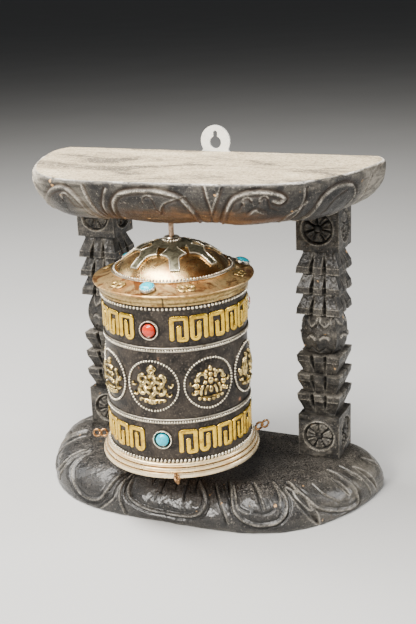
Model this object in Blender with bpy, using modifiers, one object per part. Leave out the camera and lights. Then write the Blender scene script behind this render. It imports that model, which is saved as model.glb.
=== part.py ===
"""A prayer wheel: a carved wooden stand that carries a metal drum on a fixed upright spindle.

Units are metres and +Z is up. The origin is the centre of the object's box at its underside:
+X is to the right and -Y is the front. Driving dimensions come first, then small helpers,
then one function for each sub-part.
"""
import math
from collections import namedtuple

import bmesh
import bpy
from mathutils import Vector

OBJECT_NAME = "prayer_wheel"
CUTTERS_NAME = "prayer_wheel_cutters"

MERGE = 0.00005
GAP = 0.0003
ROUND_STEPS = 40
SMALL_STEPS = 16

# Stand.
BASE_HEIGHT = 0.0240
TOP_UNDERSIDE = BASE_HEIGHT + 0.1794
TOP_HEIGHT = BASE_HEIGHT + 0.2076
BACK_CORNER_LENGTH = 0.0160
BoardPlan = namedtuple("BoardPlan", "half_width depth exponent_side exponent_front skew shear "
                       "corner_narrowing")
BASE_PLAN = BoardPlan(0.1250, 0.1117, 3.6, 1.55, 0.011, 0.004, 0.0070)
TOP_PLAN = BoardPlan(0.1227, 0.1152, 4.7, 1.25, 0.08, 0.083, 0.0050)
EDGE_BAND = 0.0050
EDGE_ROUNDING = 0.0022
EDGE_INSET = 0.0260
FRONT_POINTS = 34
CORNER_POINTS = 3
EDGE_LEVELS = 5

# Posts.
POST_X = 0.0829
POST_SETBACK = 0.0152
POST_HALF = 0.0147
POST_BLOCK_HEIGHT = 0.0308
POST_NECK_HALF = 0.0112
POST_TIER_HALF = 0.0152
POST_TIER_NARROW_HALF = 0.0110
POST_TIER_PITCH = 0.0143
POST_TIERS = 3
POST_LIP = 0.0012
BULB_ROUNDNESS = 0.6
BULB_HALF_HEIGHT = 0.0142
BULB_RADIUS = 0.0150
BULB_END_RADIUS = 0.0102
TENON_RADIUS = 0.0060
TENON_LENGTH = 0.0100
SOCKET_OVERRUN = 0.0040

# Hanger on the back of the top board.
HANGER_THICKNESS = 0.0015
HANGER_HEAD_RADIUS = 0.0108
HANGER_HEAD_RISE = 0.0072
HANGER_NECK_HALF = 0.0094
HANGER_FOOT_HALF = 0.0115
HANGER_FOOT_DEPTH = 0.0170
HANGER_CORNER = 0.0030
HANGER_NECK_RISE = 0.0010
HANGER_SHOULDER_DROP = 0.0008
KEYHOLE_RADIUS = 0.0043
KEYHOLE_RISE = 0.0062
KEYHOLE_SLOT_HALF = 0.0016
KEYHOLE_SLOT_RISE = 0.0128
HANGER_SCREW_X = 0.0070
HANGER_SCREW_DROP = 0.0105
SCREW_HEAD_RADIUS = 0.0028
SCREW_SHANK_RADIUS = 0.0012
SCREW_LENGTH = 0.0130
COUNTERSINK_MARGIN = 0.0006

# Spindle and its bearings.
SPINDLE_RADIUS = 0.00175
SPINDLE_HOLE_RADIUS = SPINDLE_RADIUS + GAP
SPINDLE_IN_BOARD = 0.0090
REST_COLLAR_RADIUS = 0.0042
REST_COLLAR_TOP = BASE_HEIGHT + 0.0172
WASHER_THICKNESS = 0.0008
THRUST_WASHER_RADIUS = 0.0060
TOP_WASHER_RADIUS = 0.0050
TOP_WASHER_LOW = BASE_HEIGHT + 0.1648

# Drum, from its underside up.
DRUM_BOTTOM = BASE_HEIGHT + 0.0192
FLANGE_TOP = BASE_HEIGHT + 0.0280
SHELL_BOTTOM = BASE_HEIGHT + 0.0219
SHELL_TOP = BASE_HEIGHT + 0.1339
SHELL_TOP_RADIUS = 0.0467
SHELL_BOTTOM_RADIUS = 0.0475
SHELL_WALL = 0.0009
FLANGE_RADIUS = 0.0533
FLANGE_BORE = 0.0479
FLANGE_LIP_BORE = 0.0440
BOTTOM_PLATE_RADIUS = 0.0470
BUSH_RADIUS = 0.0043
BOTTOM_PLATE_LOW = BASE_HEIGHT + 0.0205
BOTTOM_PLATE_THICKNESS = 0.0011
BUSH_FLANGE_RADIUS = 0.0066
BUSH_FLANGE_THICKNESS = 0.0015
UPPER_BUSH_TOP = BASE_HEIGHT + 0.1640
UPPER_FLANGE_TOP = BASE_HEIGHT + 0.1610
UPPER_FLANGE_RADIUS = 0.0052
UPPER_FLANGE_THICKNESS = 0.0012
CORE_RADIUS = 0.0060
CORE_WALL = 0.0008
CORE_TOP = BASE_HEIGHT + 0.1525
SCROLL_RADIUS = 0.0410
SCROLL_TOP = BASE_HEIGHT + 0.1300

BEAD_RADIUS = 0.00095
LOW_BEAD_Z = BASE_HEIGHT + 0.0293
HIGH_BEAD_Z = BASE_HEIGHT + 0.1324
DOUBLE_RING_HEIGHT = 0.0034
DOUBLE_RING_DEPTH = 0.0014
LOW_RING_Z = BASE_HEIGHT + 0.0566
HIGH_RING_Z = BASE_HEIGHT + 0.1046
BAND_THICKNESS = 0.0007
LOW_BAND = (BASE_HEIGHT + 0.0334, BASE_HEIGHT + 0.0508)
HIGH_BAND = (BASE_HEIGHT + 0.1090, BASE_HEIGHT + 0.1264)

MEDALLION_COUNT = 8
MEDALLION_RADIUS = 0.0175
MEDALLION_Z = BASE_HEIGHT + 0.0803
MEDALLION_THICKNESS = 0.0014
FIRST_MEDALLION_ANGLE = math.radians(5.0)

STONE_COUNT = 3
HIGH_STONE_ANGLE = math.radians(5.0)
LOW_STONE_ANGLE = math.radians(11.0)
LID_STONE_ANGLE = math.radians(5.0)
HIGH_STONE_Z = BASE_HEIGHT + 0.1174
LOW_STONE_Z = BASE_HEIGHT + 0.0443
BEZEL_RADIUS = 0.0057
BEZEL_HEIGHT = 0.0017
BEZEL_FLOOR = 0.0005
BEZEL_WALL = 0.0008
STONE_LEVELS = 4
STONE_RADIUS = 0.0042
STONE_HEIGHT = 0.0026

# Lid.
LID_BOTTOM = BASE_HEIGHT + 0.1343
LID_RIM_RADIUS = 0.0526
LID_RIM_Z = BASE_HEIGHT + 0.1409
LID_SEAT_Z = BASE_HEIGHT + 0.1453
LID_SEAT_RADIUS = 0.0400
LID_BORE = 0.0340
LID_STONE_RADIUS_OUT = 0.0462
LID_STONE_LIFT = 2.2 * GAP
LID_RIM_THICKNESS = 0.0016
LID_SHEET = 0.0010
CAVETTO_DEPTH = 0.0036
DOME_RADIUS = 0.0373
DOME_BASE_Z = BASE_HEIGHT + 0.1456
DOME_RISE = 0.0169
DOME_WALL = 0.0008
DOME_HOLE = 0.0040
DOME_LEVELS = 5
OVERLAY_THICKNESS = 0.0007
OVERLAY_INNER = 0.0070
OVERLAY_HUB = 0.0139
OVERLAY_NECK_HALF = 0.0028
OVERLAY_SHOULDER = 0.0197
OVERLAY_SHOULDER_HALF = 0.0083
OVERLAY_LEG_START = 0.0260
OVERLAY_LEG_END = 0.0325
OVERLAY_LEG_HALF = 0.0029
OVERLAY_CURVE_POINTS = 4
OVERLAY_CURVE_POWER = 2.2
OVERLAY_BLANK_MARGIN = 0.0030
OVERLAY_LEGS = 7
OVERLAY_FIRST_ANGLE = math.radians(27.5)
APEX_RING_RADIUS = 0.0056

# Wire eyes on the bottom flange: angle, distance of the inner end from the axis, height.
LOOP_EYE_RADIUS = 0.0023
LOOP_WIRE_RADIUS = 0.00055
LOOP_OPENING = math.radians(50.0)
LOOP_POINTS = 12
LOOP_PLACES = {
    "left": (math.radians(-68.5), 0.0502, BASE_HEIGHT + 0.0289),
    "front": (math.radians(21.5), 0.0537, BASE_HEIGHT + 0.0226),
    "right": (math.radians(111.5), 0.0502, BASE_HEIGHT + 0.0300),
    "back": (math.radians(201.5), 0.0502, BASE_HEIGHT + 0.0289),
}

# Places in plan: the box runs from the front wire eye to the back of the hanger plate.
DRUM_SETBACK = 0.0775
FRONT_EYE_ANGLE, FRONT_EYE_START, _ = LOOP_PLACES["front"]
FRONT_EYE_END = FRONT_EYE_START + 4.0 * LOOP_EYE_RADIUS + 2.0 * LOOP_WIRE_RADIUS
HANGER_STANDOFF = GAP + HANGER_THICKNESS
OBJECT_DEPTH = DRUM_SETBACK + FRONT_EYE_END * math.cos(FRONT_EYE_ANGLE) + HANGER_STANDOFF
BACK_Y = OBJECT_DEPTH / 2.0 - HANGER_STANDOFF
DRUM_Y = BACK_Y - DRUM_SETBACK


# Scene and object helpers.

def clear_scene():
    for obj in list(bpy.data.objects):
        bpy.data.objects.remove(obj, do_unlink=True)


def make_collection(name):
    collection = bpy.data.collections.new(name)
    bpy.context.scene.collection.children.link(collection)
    return collection


def material(name, colour, roughness, metallic=0.0):
    surface = bpy.data.materials.get(name)
    if surface is None:
        surface = bpy.data.materials.new(name)
        surface.use_nodes = True
        shader = surface.node_tree.nodes["Principled BSDF"]
        shader.inputs["Base Color"].default_value = (*colour, 1.0)
        shader.inputs["Roughness"].default_value = roughness
        shader.inputs["Metallic"].default_value = metallic
    return surface


def add_object(name, mesh, surface, parent=None):
    obj = bpy.data.objects.new(name, mesh)
    parts.objects.link(obj)
    if surface is not None:
        mesh.materials.append(surface)
    if parent is not None:
        obj.parent = parent
    return obj


def mesh_from_bmesh(name, shape):
    mesh = bpy.data.meshes.new(name)
    shape.to_mesh(mesh)
    shape.free()
    return mesh


def shade(mesh):
    mesh.shade_smooth()
    mesh.set_sharp_from_angle(angle=math.radians(35.0))


def solid_mesh(obj):
    """Return the evaluated mesh of an object in its own space, with its seams welded."""
    depsgraph = bpy.context.evaluated_depsgraph_get()
    mesh = bpy.data.meshes.new_from_object(obj.evaluated_get(depsgraph))
    shape = bmesh.new()
    shape.from_mesh(mesh)
    bmesh.ops.remove_doubles(shape, verts=shape.verts, dist=MERGE / 5.0)
    shape.to_mesh(mesh)
    shape.free()
    return mesh


def settle(obj):
    """Replace an object by one that holds its evaluated mesh and has no modifiers."""
    mesh = solid_mesh(obj)
    solid = bpy.data.objects.new("settled", mesh)
    parts.objects.link(solid)
    solid.matrix_world = obj.matrix_world.copy()
    name = obj.name
    bpy.data.objects.remove(obj, do_unlink=True)
    solid.name = name
    shade(mesh)
    return solid


def lathe(name, profile, surface, parent=None, closed=True, steps=ROUND_STEPS):
    """Turn (radius, height) points about Z; the outer side is listed from top to bottom."""
    points = [(radius, 0.0, height) for radius, height in profile]
    edges = [(index, index + 1) for index in range(len(points) - 1)]
    if closed:
        edges.append((len(points) - 1, 0))
    mesh = bpy.data.meshes.new(name)
    mesh.from_pydata(points, edges, [])
    obj = add_object(name, mesh, surface, parent)
    screw = obj.modifiers.new("Turn", "SCREW")
    screw.steps = steps
    screw.render_steps = steps
    screw.use_merge_vertices = True
    screw.merge_threshold = MERGE
    screw.use_smooth_shade = True
    return obj


def loft(rings):
    """Join rings of equal point counts, listed from bottom to top, and cap both ends."""
    shape = bmesh.new()
    loops = [[shape.verts.new(point) for point in ring] for ring in rings]
    for low, high in zip(loops, loops[1:]):
        count = len(low)
        for index in range(count):
            follower = (index + 1) % count
            shape.faces.new((low[index], low[follower], high[follower], high[index]))
    shape.faces.new(list(reversed(loops[0])))
    shape.faces.new(loops[-1])
    bmesh.ops.recalc_face_normals(shape, faces=shape.faces)
    return shape


def cutter_cylinder(name, radius, depth, centre, rotation=(0.0, 0.0, 0.0), vertices=ROUND_STEPS):
    bpy.ops.mesh.primitive_cylinder_add(
        vertices=vertices, radius=radius, depth=depth, location=centre, rotation=rotation)
    return file_cutter(name)


def cutter_cone(name, radius_low, radius_high, depth, centre, rotation):
    bpy.ops.mesh.primitive_cone_add(
        vertices=SMALL_STEPS, radius1=radius_low, radius2=radius_high, depth=depth,
        location=centre, rotation=rotation)
    return file_cutter(name)


def file_cutter(name):
    obj = bpy.context.active_object
    obj.name = name
    for collection in list(obj.users_collection):
        collection.objects.unlink(obj)
    cutters.objects.link(obj)
    obj.hide_render = True
    obj.display_type = "WIRE"
    return obj


def boolean(obj, cutter, operation="DIFFERENCE"):
    modifier = obj.modifiers.new(cutter.name, "BOOLEAN")
    modifier.operation = operation
    modifier.solver = "EXACT"
    modifier.object = cutter
    bpy.context.view_layer.update()
    return obj


def ring_torus(name, radius, thickness, height, surface, parent):
    bpy.ops.mesh.primitive_torus_add(
        major_segments=ROUND_STEPS, minor_segments=5, major_radius=radius, minor_radius=thickness)
    obj = bpy.context.active_object
    for collection in list(obj.users_collection):
        collection.objects.unlink(obj)
    parts.objects.link(obj)
    obj.name = name
    obj.parent = parent
    obj.location = (0.0, 0.0, height)
    obj.data.materials.append(surface)
    obj.data.shade_smooth()
    return obj


def around_drum(angle, radius, height):
    """A point about the drum's axis; angle 0 is the front and grows towards +X."""
    return Vector((radius * math.sin(angle), -radius * math.cos(angle), height))


def shell_radius(height):
    share = (height - SHELL_BOTTOM) / (SHELL_TOP - SHELL_BOTTOM)
    return SHELL_BOTTOM_RADIUS + share * (SHELL_TOP_RADIUS - SHELL_BOTTOM_RADIUS)


# Surfaces.

def black_wood():
    return material("black_wood", (0.035, 0.033, 0.032), 0.45)


def copper():
    return material("copper", (0.62, 0.40, 0.24), 0.28, 1.0)


def dark_metal():
    return material("dark_metal", (0.11, 0.10, 0.09), 0.42, 0.9)


def white_metal():
    return material("white_metal", (0.66, 0.63, 0.57), 0.32, 1.0)


def gold():
    return material("gold", (0.80, 0.62, 0.26), 0.32, 1.0)


def brass():
    return material("brass", (0.78, 0.66, 0.42), 0.25, 1.0)


def coral():
    return material("coral", (0.75, 0.12, 0.06), 0.25)


def turquoise():
    return material("turquoise", (0.12, 0.52, 0.60), 0.30)


def zinc():
    return material("zinc", (0.74, 0.75, 0.73), 0.40, 1.0)


def paper():
    return material("paper", (0.80, 0.74, 0.60), 0.90)


# Stand.

def board_outline(plan, inset, height):
    """A flat-backed D, narrowed by an inset: rounded back corners and a superellipse front."""
    width = plan.half_width - inset
    reach = plan.depth - inset - BACK_CORNER_LENGTH
    right = []
    for index in range(CORNER_POINTS):
        along = index / CORNER_POINTS
        side = width - plan.corner_narrowing * (1.0 - along) ** 2
        right.append((side, -BACK_CORNER_LENGTH * along))
    left = [(-x, y) for x, y in reversed(right)]
    front = []
    for index in range(FRONT_POINTS + 1):
        turn = math.pi * index / FRONT_POINTS
        across = math.copysign(abs(math.cos(turn)) ** (2.0 / plan.exponent_side), math.cos(turn))
        forward = math.sin(turn) ** (2.0 / plan.exponent_front)
        front.append((width * across, -BACK_CORNER_LENGTH - reach * forward))
    outline = []
    for x, y in reversed(right + front + left):
        skewed = y * (1.0 - plan.skew * x / plan.half_width)
        outline.append((x - plan.shear * y, BACK_Y + skewed, height))
    return outline


def edge_profile(height_flat, height_wide):
    """Insets and heights from a board's small face to its wide face: an ovolo and a band."""
    direction = math.copysign(1.0, height_wide - height_flat)
    start = height_flat
    band = height_wide - direction * EDGE_BAND
    profile = []
    for index in range(EDGE_LEVELS + 1):
        turn = 0.5 * math.pi * index / EDGE_LEVELS
        inset = EDGE_INSET * (1.0 - math.sin(turn))
        height = band + (start - band) * math.cos(turn)
        profile.append((inset, height))
    profile.append((0.0, height_wide - direction * EDGE_ROUNDING))
    profile.append((EDGE_ROUNDING * 0.3, height_wide - direction * EDGE_ROUNDING * 0.3))
    profile.append((EDGE_ROUNDING, height_wide))
    return profile


def socket(board, name, radius, x, y, height_open, depth, direction):
    """Cut a round blind socket that opens at one face of a board."""
    centre_z = height_open + direction * (depth - SOCKET_OVERRUN) / 2.0
    cutter = cutter_cylinder(name, radius, depth + SOCKET_OVERRUN, (x, y, centre_z),
                             vertices=SMALL_STEPS)
    boolean(board, cutter)


def add_board(name, profile, plan, face_height, direction):
    rings = [board_outline(plan, inset, height) for inset, height in profile]
    if rings[0][0][2] > rings[-1][0][2]:
        rings.reverse()
    board = add_object(name, mesh_from_bmesh(name, loft(rings)), black_wood())
    post_y = BACK_Y - POST_SETBACK
    for side, x in (("left", -POST_X), ("right", POST_X)):
        socket(board, f"{name}_{side}_socket", TENON_RADIUS + GAP, x, post_y,
               face_height, TENON_LENGTH + 2.0 * GAP, direction)
    socket(board, f"{name}_spindle_socket", SPINDLE_HOLE_RADIUS, 0.0, DRUM_Y,
           face_height, SPINDLE_IN_BOARD + 2.0 * GAP, direction)
    return board


def add_base_board():
    profile = edge_profile(BASE_HEIGHT, 0.0)
    add_board("base_board", profile, BASE_PLAN, BASE_HEIGHT, -1.0)


def add_top_board():
    profile = edge_profile(TOP_UNDERSIDE, TOP_HEIGHT)
    board = add_board("top_board", profile, TOP_PLAN, TOP_UNDERSIDE, 1.0)
    for side, x in (("left", -HANGER_SCREW_X), ("right", HANGER_SCREW_X)):
        depth = SCREW_LENGTH + SOCKET_OVERRUN
        centre = (x, BACK_Y - (SCREW_LENGTH - SOCKET_OVERRUN) / 2.0, TOP_HEIGHT - HANGER_SCREW_DROP)
        cutter = cutter_cylinder(f"{side}_screw_hole", SCREW_SHANK_RADIUS + GAP, depth,
                                 centre, (math.radians(90.0), 0.0, 0.0), SMALL_STEPS)
        boolean(board, cutter)


def post_ring(half, roundness, height, x, y):
    """A section between a square (roundness 0) and a circle (roundness 1) of one half width."""
    ring = []
    for index in range(SMALL_STEPS):
        turn = 2.0 * math.pi * index / SMALL_STEPS
        square = half / max(abs(math.cos(turn)), abs(math.sin(turn)))
        reach = square + roundness * (half - square)
        ring.append((x + reach * math.cos(turn), y + reach * math.sin(turn), height))
    return ring


def post_sections():
    """Half widths, roundness and heights of the upper half of a post, from its middle up."""
    middle = (TOP_UNDERSIDE - BASE_HEIGHT) / 2.0
    sections = []
    for share in (0.0, 0.5, 0.85, 1.0):
        bulge = math.cos(share * math.pi / 2.0)
        half = BULB_END_RADIUS + (BULB_RADIUS - BULB_END_RADIUS) * bulge
        sections.append((half, BULB_ROUNDNESS, BULB_HALF_HEIGHT * share))
    for tier in range(POST_TIERS):
        start = BULB_HALF_HEIGHT + tier * POST_TIER_PITCH
        sections.append((POST_TIER_HALF, 0.0, start + POST_LIP * 0.5))
        sections.append((POST_TIER_HALF, 0.0, start + POST_LIP * 2.5))
        narrow_end = start + POST_TIER_PITCH - POST_LIP * 0.5
        sections.append((POST_TIER_NARROW_HALF, 0.0, narrow_end))
    block = middle - POST_BLOCK_HEIGHT
    sections.append((POST_NECK_HALF, 0.0, block - POST_LIP))
    sections.append((POST_HALF, 0.0, block))
    sections.append((POST_HALF, 0.0, middle - GAP))
    return sections


def add_post(name, x):
    middle = (BASE_HEIGHT + TOP_UNDERSIDE) / 2.0
    y = BACK_Y - POST_SETBACK
    upper = post_sections()
    rings = [post_ring(half, roundness, middle - rise, x, y)
             for half, roundness, rise in reversed(upper[1:])]
    rings += [post_ring(half, roundness, middle + rise, x, y) for half, roundness, rise in upper]
    foot = BASE_HEIGHT + GAP
    head = TOP_UNDERSIDE - GAP
    tenon_low = [post_ring(TENON_RADIUS, 1.0, foot - TENON_LENGTH, x, y),
                 post_ring(TENON_RADIUS, 1.0, foot, x, y)]
    tenon_high = [post_ring(TENON_RADIUS, 1.0, head, x, y),
                  post_ring(TENON_RADIUS, 1.0, head + TENON_LENGTH, x, y)]
    shape = loft(tenon_low + rings + tenon_high)
    add_object(name, mesh_from_bmesh(name, shape), black_wood())


# Hanger.

def arc(centre_x, centre_z, radius, start, end, count):
    points = []
    for index in range(count + 1):
        turn = math.radians(start + (end - start) * index / count)
        points.append((centre_x + radius * math.cos(turn), centre_z + radius * math.sin(turn)))
    return points


def add_spline(curve, points):
    spline = curve.splines.new("POLY")
    spline.points.add(len(points) - 1)
    for target, (x, y) in zip(spline.points, points):
        target.co = (x, y, 0.0, 1.0)
    spline.use_cyclic_u = True


def hanger_outline():
    neck_turn = math.degrees(math.acos(HANGER_NECK_HALF / HANGER_HEAD_RADIUS))
    head = arc(0.0, HANGER_HEAD_RISE, HANGER_HEAD_RADIUS, -neck_turn, 180.0 + neck_turn, 28)
    corner = HANGER_CORNER
    corner_x = HANGER_FOOT_HALF - corner
    corner_z = -HANGER_FOOT_DEPTH + corner
    foot_left = arc(-corner_x, corner_z, corner, 180.0, 270.0, 3)
    foot_right = arc(corner_x, corner_z, corner, 270.0, 360.0, 3)
    neck = HANGER_NECK_RISE
    shoulder = -HANGER_SHOULDER_DROP
    sides_left = [(-HANGER_NECK_HALF, neck), (-HANGER_FOOT_HALF, shoulder)]
    sides_right = [(HANGER_FOOT_HALF, shoulder), (HANGER_NECK_HALF, neck)]
    return head + sides_left + foot_left + foot_right + sides_right


def keyhole_outline():
    meet = math.degrees(math.asin(KEYHOLE_SLOT_HALF / KEYHOLE_RADIUS))
    lobe = arc(0.0, KEYHOLE_RISE, KEYHOLE_RADIUS, 90.0 + meet, 450.0 - meet, 20)
    slot = arc(0.0, KEYHOLE_SLOT_RISE, KEYHOLE_SLOT_HALF, 0.0, 180.0, 8)
    return lobe + slot


def add_hanger_plate():
    curve = bpy.data.curves.new("hanger_plate", "CURVE")
    curve.dimensions = "2D"
    curve.fill_mode = "BOTH"
    curve.extrude = HANGER_THICKNESS / 2.0
    add_spline(curve, hanger_outline())
    add_spline(curve, keyhole_outline())
    outline = bpy.data.objects.new("hanger_outline", curve)
    parts.objects.link(outline)
    middle_y = BACK_Y + GAP + HANGER_THICKNESS / 2.0
    outline.location = (0.0, middle_y, TOP_HEIGHT)
    outline.rotation_euler = (math.radians(90.0), 0.0, 0.0)
    bpy.context.view_layer.update()
    plate = settle(outline)
    plate.name = "hanger_plate"
    plate.data.materials.clear()
    plate.data.materials.append(zinc())
    for side, x in (("left", -HANGER_SCREW_X), ("right", HANGER_SCREW_X)):
        margin = COUNTERSINK_MARGIN
        slope = (SCREW_HEAD_RADIUS - SCREW_SHANK_RADIUS) / HANGER_THICKNESS
        grow = slope * margin
        cutter = cutter_cone(
            f"{side}_countersink", SCREW_SHANK_RADIUS + GAP - grow, SCREW_HEAD_RADIUS + GAP + grow,
            HANGER_THICKNESS + 2.0 * margin, (x, middle_y, TOP_HEIGHT - HANGER_SCREW_DROP),
            (math.radians(-90.0), 0.0, 0.0))
        boolean(plate, cutter)


def add_hanger_screws():
    for side, x in (("left", -HANGER_SCREW_X), ("right", HANGER_SCREW_X)):
        profile = [(0.0, 0.0), (SCREW_HEAD_RADIUS, 0.0), (SCREW_SHANK_RADIUS, -HANGER_THICKNESS),
                   (SCREW_SHANK_RADIUS, -SCREW_LENGTH * 0.8), (0.0, -SCREW_LENGTH)]
        screw = lathe(f"hanger_screw_{side}", profile, zinc(), closed=False, steps=SMALL_STEPS)
        screw.location = (x, BACK_Y + GAP + HANGER_THICKNESS, TOP_HEIGHT - HANGER_SCREW_DROP)
        screw.rotation_euler = (math.radians(-90.0), 0.0, 0.0)


# Spindle and bearings.

def tube_profile(inner, outer, low, high):
    return [(inner, high), (outer, high), (outer, low), (inner, low)]


def add_spindle(axis):
    low = BASE_HEIGHT - SPINDLE_IN_BOARD
    high = TOP_UNDERSIDE + SPINDLE_IN_BOARD
    profile = [(0.0, high), (SPINDLE_RADIUS, high), (SPINDLE_RADIUS, low), (0.0, low)]
    lathe("spindle", profile, brass(), axis, closed=False, steps=SMALL_STEPS)


def add_spindle_collars(axis):
    collar = tube_profile(SPINDLE_HOLE_RADIUS, REST_COLLAR_RADIUS, BASE_HEIGHT + GAP, REST_COLLAR_TOP)
    lathe("rest_collar", collar, brass(), axis, steps=SMALL_STEPS)
    washer_low = REST_COLLAR_TOP + GAP
    washer = tube_profile(SPINDLE_HOLE_RADIUS, THRUST_WASHER_RADIUS,
                          washer_low, washer_low + WASHER_THICKNESS)
    lathe("thrust_washer", washer, brass(), axis, steps=SMALL_STEPS)
    top_washer = tube_profile(SPINDLE_HOLE_RADIUS, TOP_WASHER_RADIUS,
                              TOP_WASHER_LOW, TOP_WASHER_LOW + WASHER_THICKNESS)
    lathe("top_washer", top_washer, white_metal(), axis, steps=SMALL_STEPS)


# Drum body.

def add_drum_core(axis):
    plate_high = BOTTOM_PLATE_LOW + BOTTOM_PLATE_THICKNESS
    plate = tube_profile(BUSH_RADIUS + GAP, BOTTOM_PLATE_RADIUS, BOTTOM_PLATE_LOW, plate_high)
    lathe("bottom_plate", plate, copper(), axis)
    bush_low = REST_COLLAR_TOP + GAP + WASHER_THICKNESS + GAP
    flange_low = plate_high + GAP
    flange_high = flange_low + BUSH_FLANGE_THICKNESS
    bush = [(SPINDLE_HOLE_RADIUS, flange_high), (BUSH_FLANGE_RADIUS, flange_high),
            (BUSH_FLANGE_RADIUS, flange_low), (BUSH_RADIUS, flange_low),
            (BUSH_RADIUS, bush_low), (SPINDLE_HOLE_RADIUS, bush_low)]
    lathe("lower_bush", bush, brass(), axis, steps=SMALL_STEPS * 2)
    core_low = flange_high + GAP
    core = tube_profile(CORE_RADIUS - CORE_WALL, CORE_RADIUS, core_low, CORE_TOP)
    lathe("core_tube", core, copper(), axis, steps=SMALL_STEPS * 2)
    scroll = tube_profile(CORE_RADIUS + GAP, SCROLL_RADIUS, core_low, SCROLL_TOP)
    lathe("prayer_scroll", scroll, paper(), axis, steps=SMALL_STEPS * 2)


def add_upper_bush(axis):
    neck = DOME_HOLE - GAP
    flange = UPPER_FLANGE_RADIUS
    bush_low = CORE_TOP + GAP
    flange_high = UPPER_FLANGE_TOP
    flange_low = flange_high - UPPER_FLANGE_THICKNESS
    profile = [(SPINDLE_HOLE_RADIUS, UPPER_BUSH_TOP), (neck, UPPER_BUSH_TOP), (neck, flange_high),
               (flange, flange_high), (flange, flange_low), (neck, flange_low),
               (neck, bush_low), (SPINDLE_HOLE_RADIUS, bush_low)]
    lathe("upper_bush", profile, brass(), axis, steps=SMALL_STEPS * 2)


def add_drum_shell(axis):
    profile = [(SHELL_TOP_RADIUS - SHELL_WALL, SHELL_TOP), (SHELL_TOP_RADIUS, SHELL_TOP),
               (SHELL_BOTTOM_RADIUS, SHELL_BOTTOM), (SHELL_BOTTOM_RADIUS - SHELL_WALL, SHELL_BOTTOM)]
    lathe("drum_shell", profile, dark_metal(), axis)


def add_bottom_flange(axis):
    step = (FLANGE_RADIUS - FLANGE_BORE) / 5.0
    fall = (FLANGE_TOP - DRUM_BOTTOM) / 9.0
    profile = [
        (FLANGE_BORE, FLANGE_TOP),
        (FLANGE_BORE + 2.0 * step, FLANGE_TOP),
        (FLANGE_BORE + 2.4 * step, FLANGE_TOP - 1.7 * fall),
        (FLANGE_BORE + 3.4 * step, FLANGE_TOP - 2.0 * fall),
        (FLANGE_BORE + 3.8 * step, FLANGE_TOP - 4.8 * fall),
        (FLANGE_BORE + 4.8 * step, FLANGE_TOP - 5.1 * fall),
        (FLANGE_RADIUS, FLANGE_TOP - 8.0 * fall),
        (FLANGE_RADIUS - 0.7 * step, DRUM_BOTTOM),
        (FLANGE_LIP_BORE, DRUM_BOTTOM),
        (FLANGE_LIP_BORE, DRUM_BOTTOM + fall),
        (FLANGE_BORE, DRUM_BOTTOM + fall),
    ]
    lathe("bottom_flange", profile, brass(), axis)


def add_drum_rings(axis):
    clearance = GAP + BEAD_RADIUS
    ring_torus("bead_ring_low", shell_radius(LOW_BEAD_Z) + clearance, BEAD_RADIUS,
               LOW_BEAD_Z, white_metal(), axis)
    ring_torus("bead_ring_high", shell_radius(HIGH_BEAD_Z) + clearance, BEAD_RADIUS,
               HIGH_BEAD_Z, white_metal(), axis)
    for name, height in (("double_ring_low", LOW_RING_Z), ("double_ring_high", HIGH_RING_Z)):
        inner = shell_radius(height - DOUBLE_RING_HEIGHT / 2.0) + GAP
        outer = inner + DOUBLE_RING_DEPTH
        shoulder = inner + DOUBLE_RING_DEPTH * 0.4
        low = height - DOUBLE_RING_HEIGHT / 2.0
        high = height + DOUBLE_RING_HEIGHT / 2.0
        profile = [(inner, high), (shoulder, high), (outer, height), (shoulder, low), (inner, low)]
        lathe(name, profile, white_metal(), axis)


def add_bands(axis):
    for name, (low, high) in (("ornament_band_low", LOW_BAND), ("ornament_band_high", HIGH_BAND)):
        inner_low = shell_radius(low) + GAP
        inner_high = shell_radius(high) + GAP
        profile = [(inner_high, high), (inner_high + BAND_THICKNESS, high),
                   (inner_low + BAND_THICKNESS, low), (inner_low, low)]
        lathe(name, profile, gold(), axis)


def add_medallions(axis):
    """Eight round plates curved to the drum, cut from a turned ring by a radial cylinder."""
    low = MEDALLION_Z - MEDALLION_RADIUS * 1.1
    high = MEDALLION_Z + MEDALLION_RADIUS * 1.1
    inner_low = shell_radius(low) + GAP
    inner_high = shell_radius(high) + GAP
    profile = [(inner_high, high), (inner_high + MEDALLION_THICKNESS, high),
               (inner_low + MEDALLION_THICKNESS, low), (inner_low, low)]
    blank = lathe("medallion_blank", profile, white_metal())
    reach = SHELL_BOTTOM_RADIUS
    cutter = cutter_cylinder("medallion_cutter", MEDALLION_RADIUS, reach,
                             (0.0, -reach, MEDALLION_Z), (math.radians(90.0), 0.0, 0.0), 32)
    boolean(blank, cutter, "INTERSECT")
    mesh = solid_mesh(blank)
    shade(mesh)
    bpy.data.objects.remove(blank, do_unlink=True)
    for index in range(MEDALLION_COUNT):
        turn = FIRST_MEDALLION_ANGLE + index * 2.0 * math.pi / MEDALLION_COUNT
        medallion = add_object(f"medallion_{index + 1}", mesh, None, axis)
        medallion.rotation_euler = (0.0, 0.0, turn)


def place_on_drum(obj, angle, radius, height, tilt):
    obj.location = around_drum(angle, radius, height)
    obj.rotation_euler = (tilt, 0.0, angle)


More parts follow.
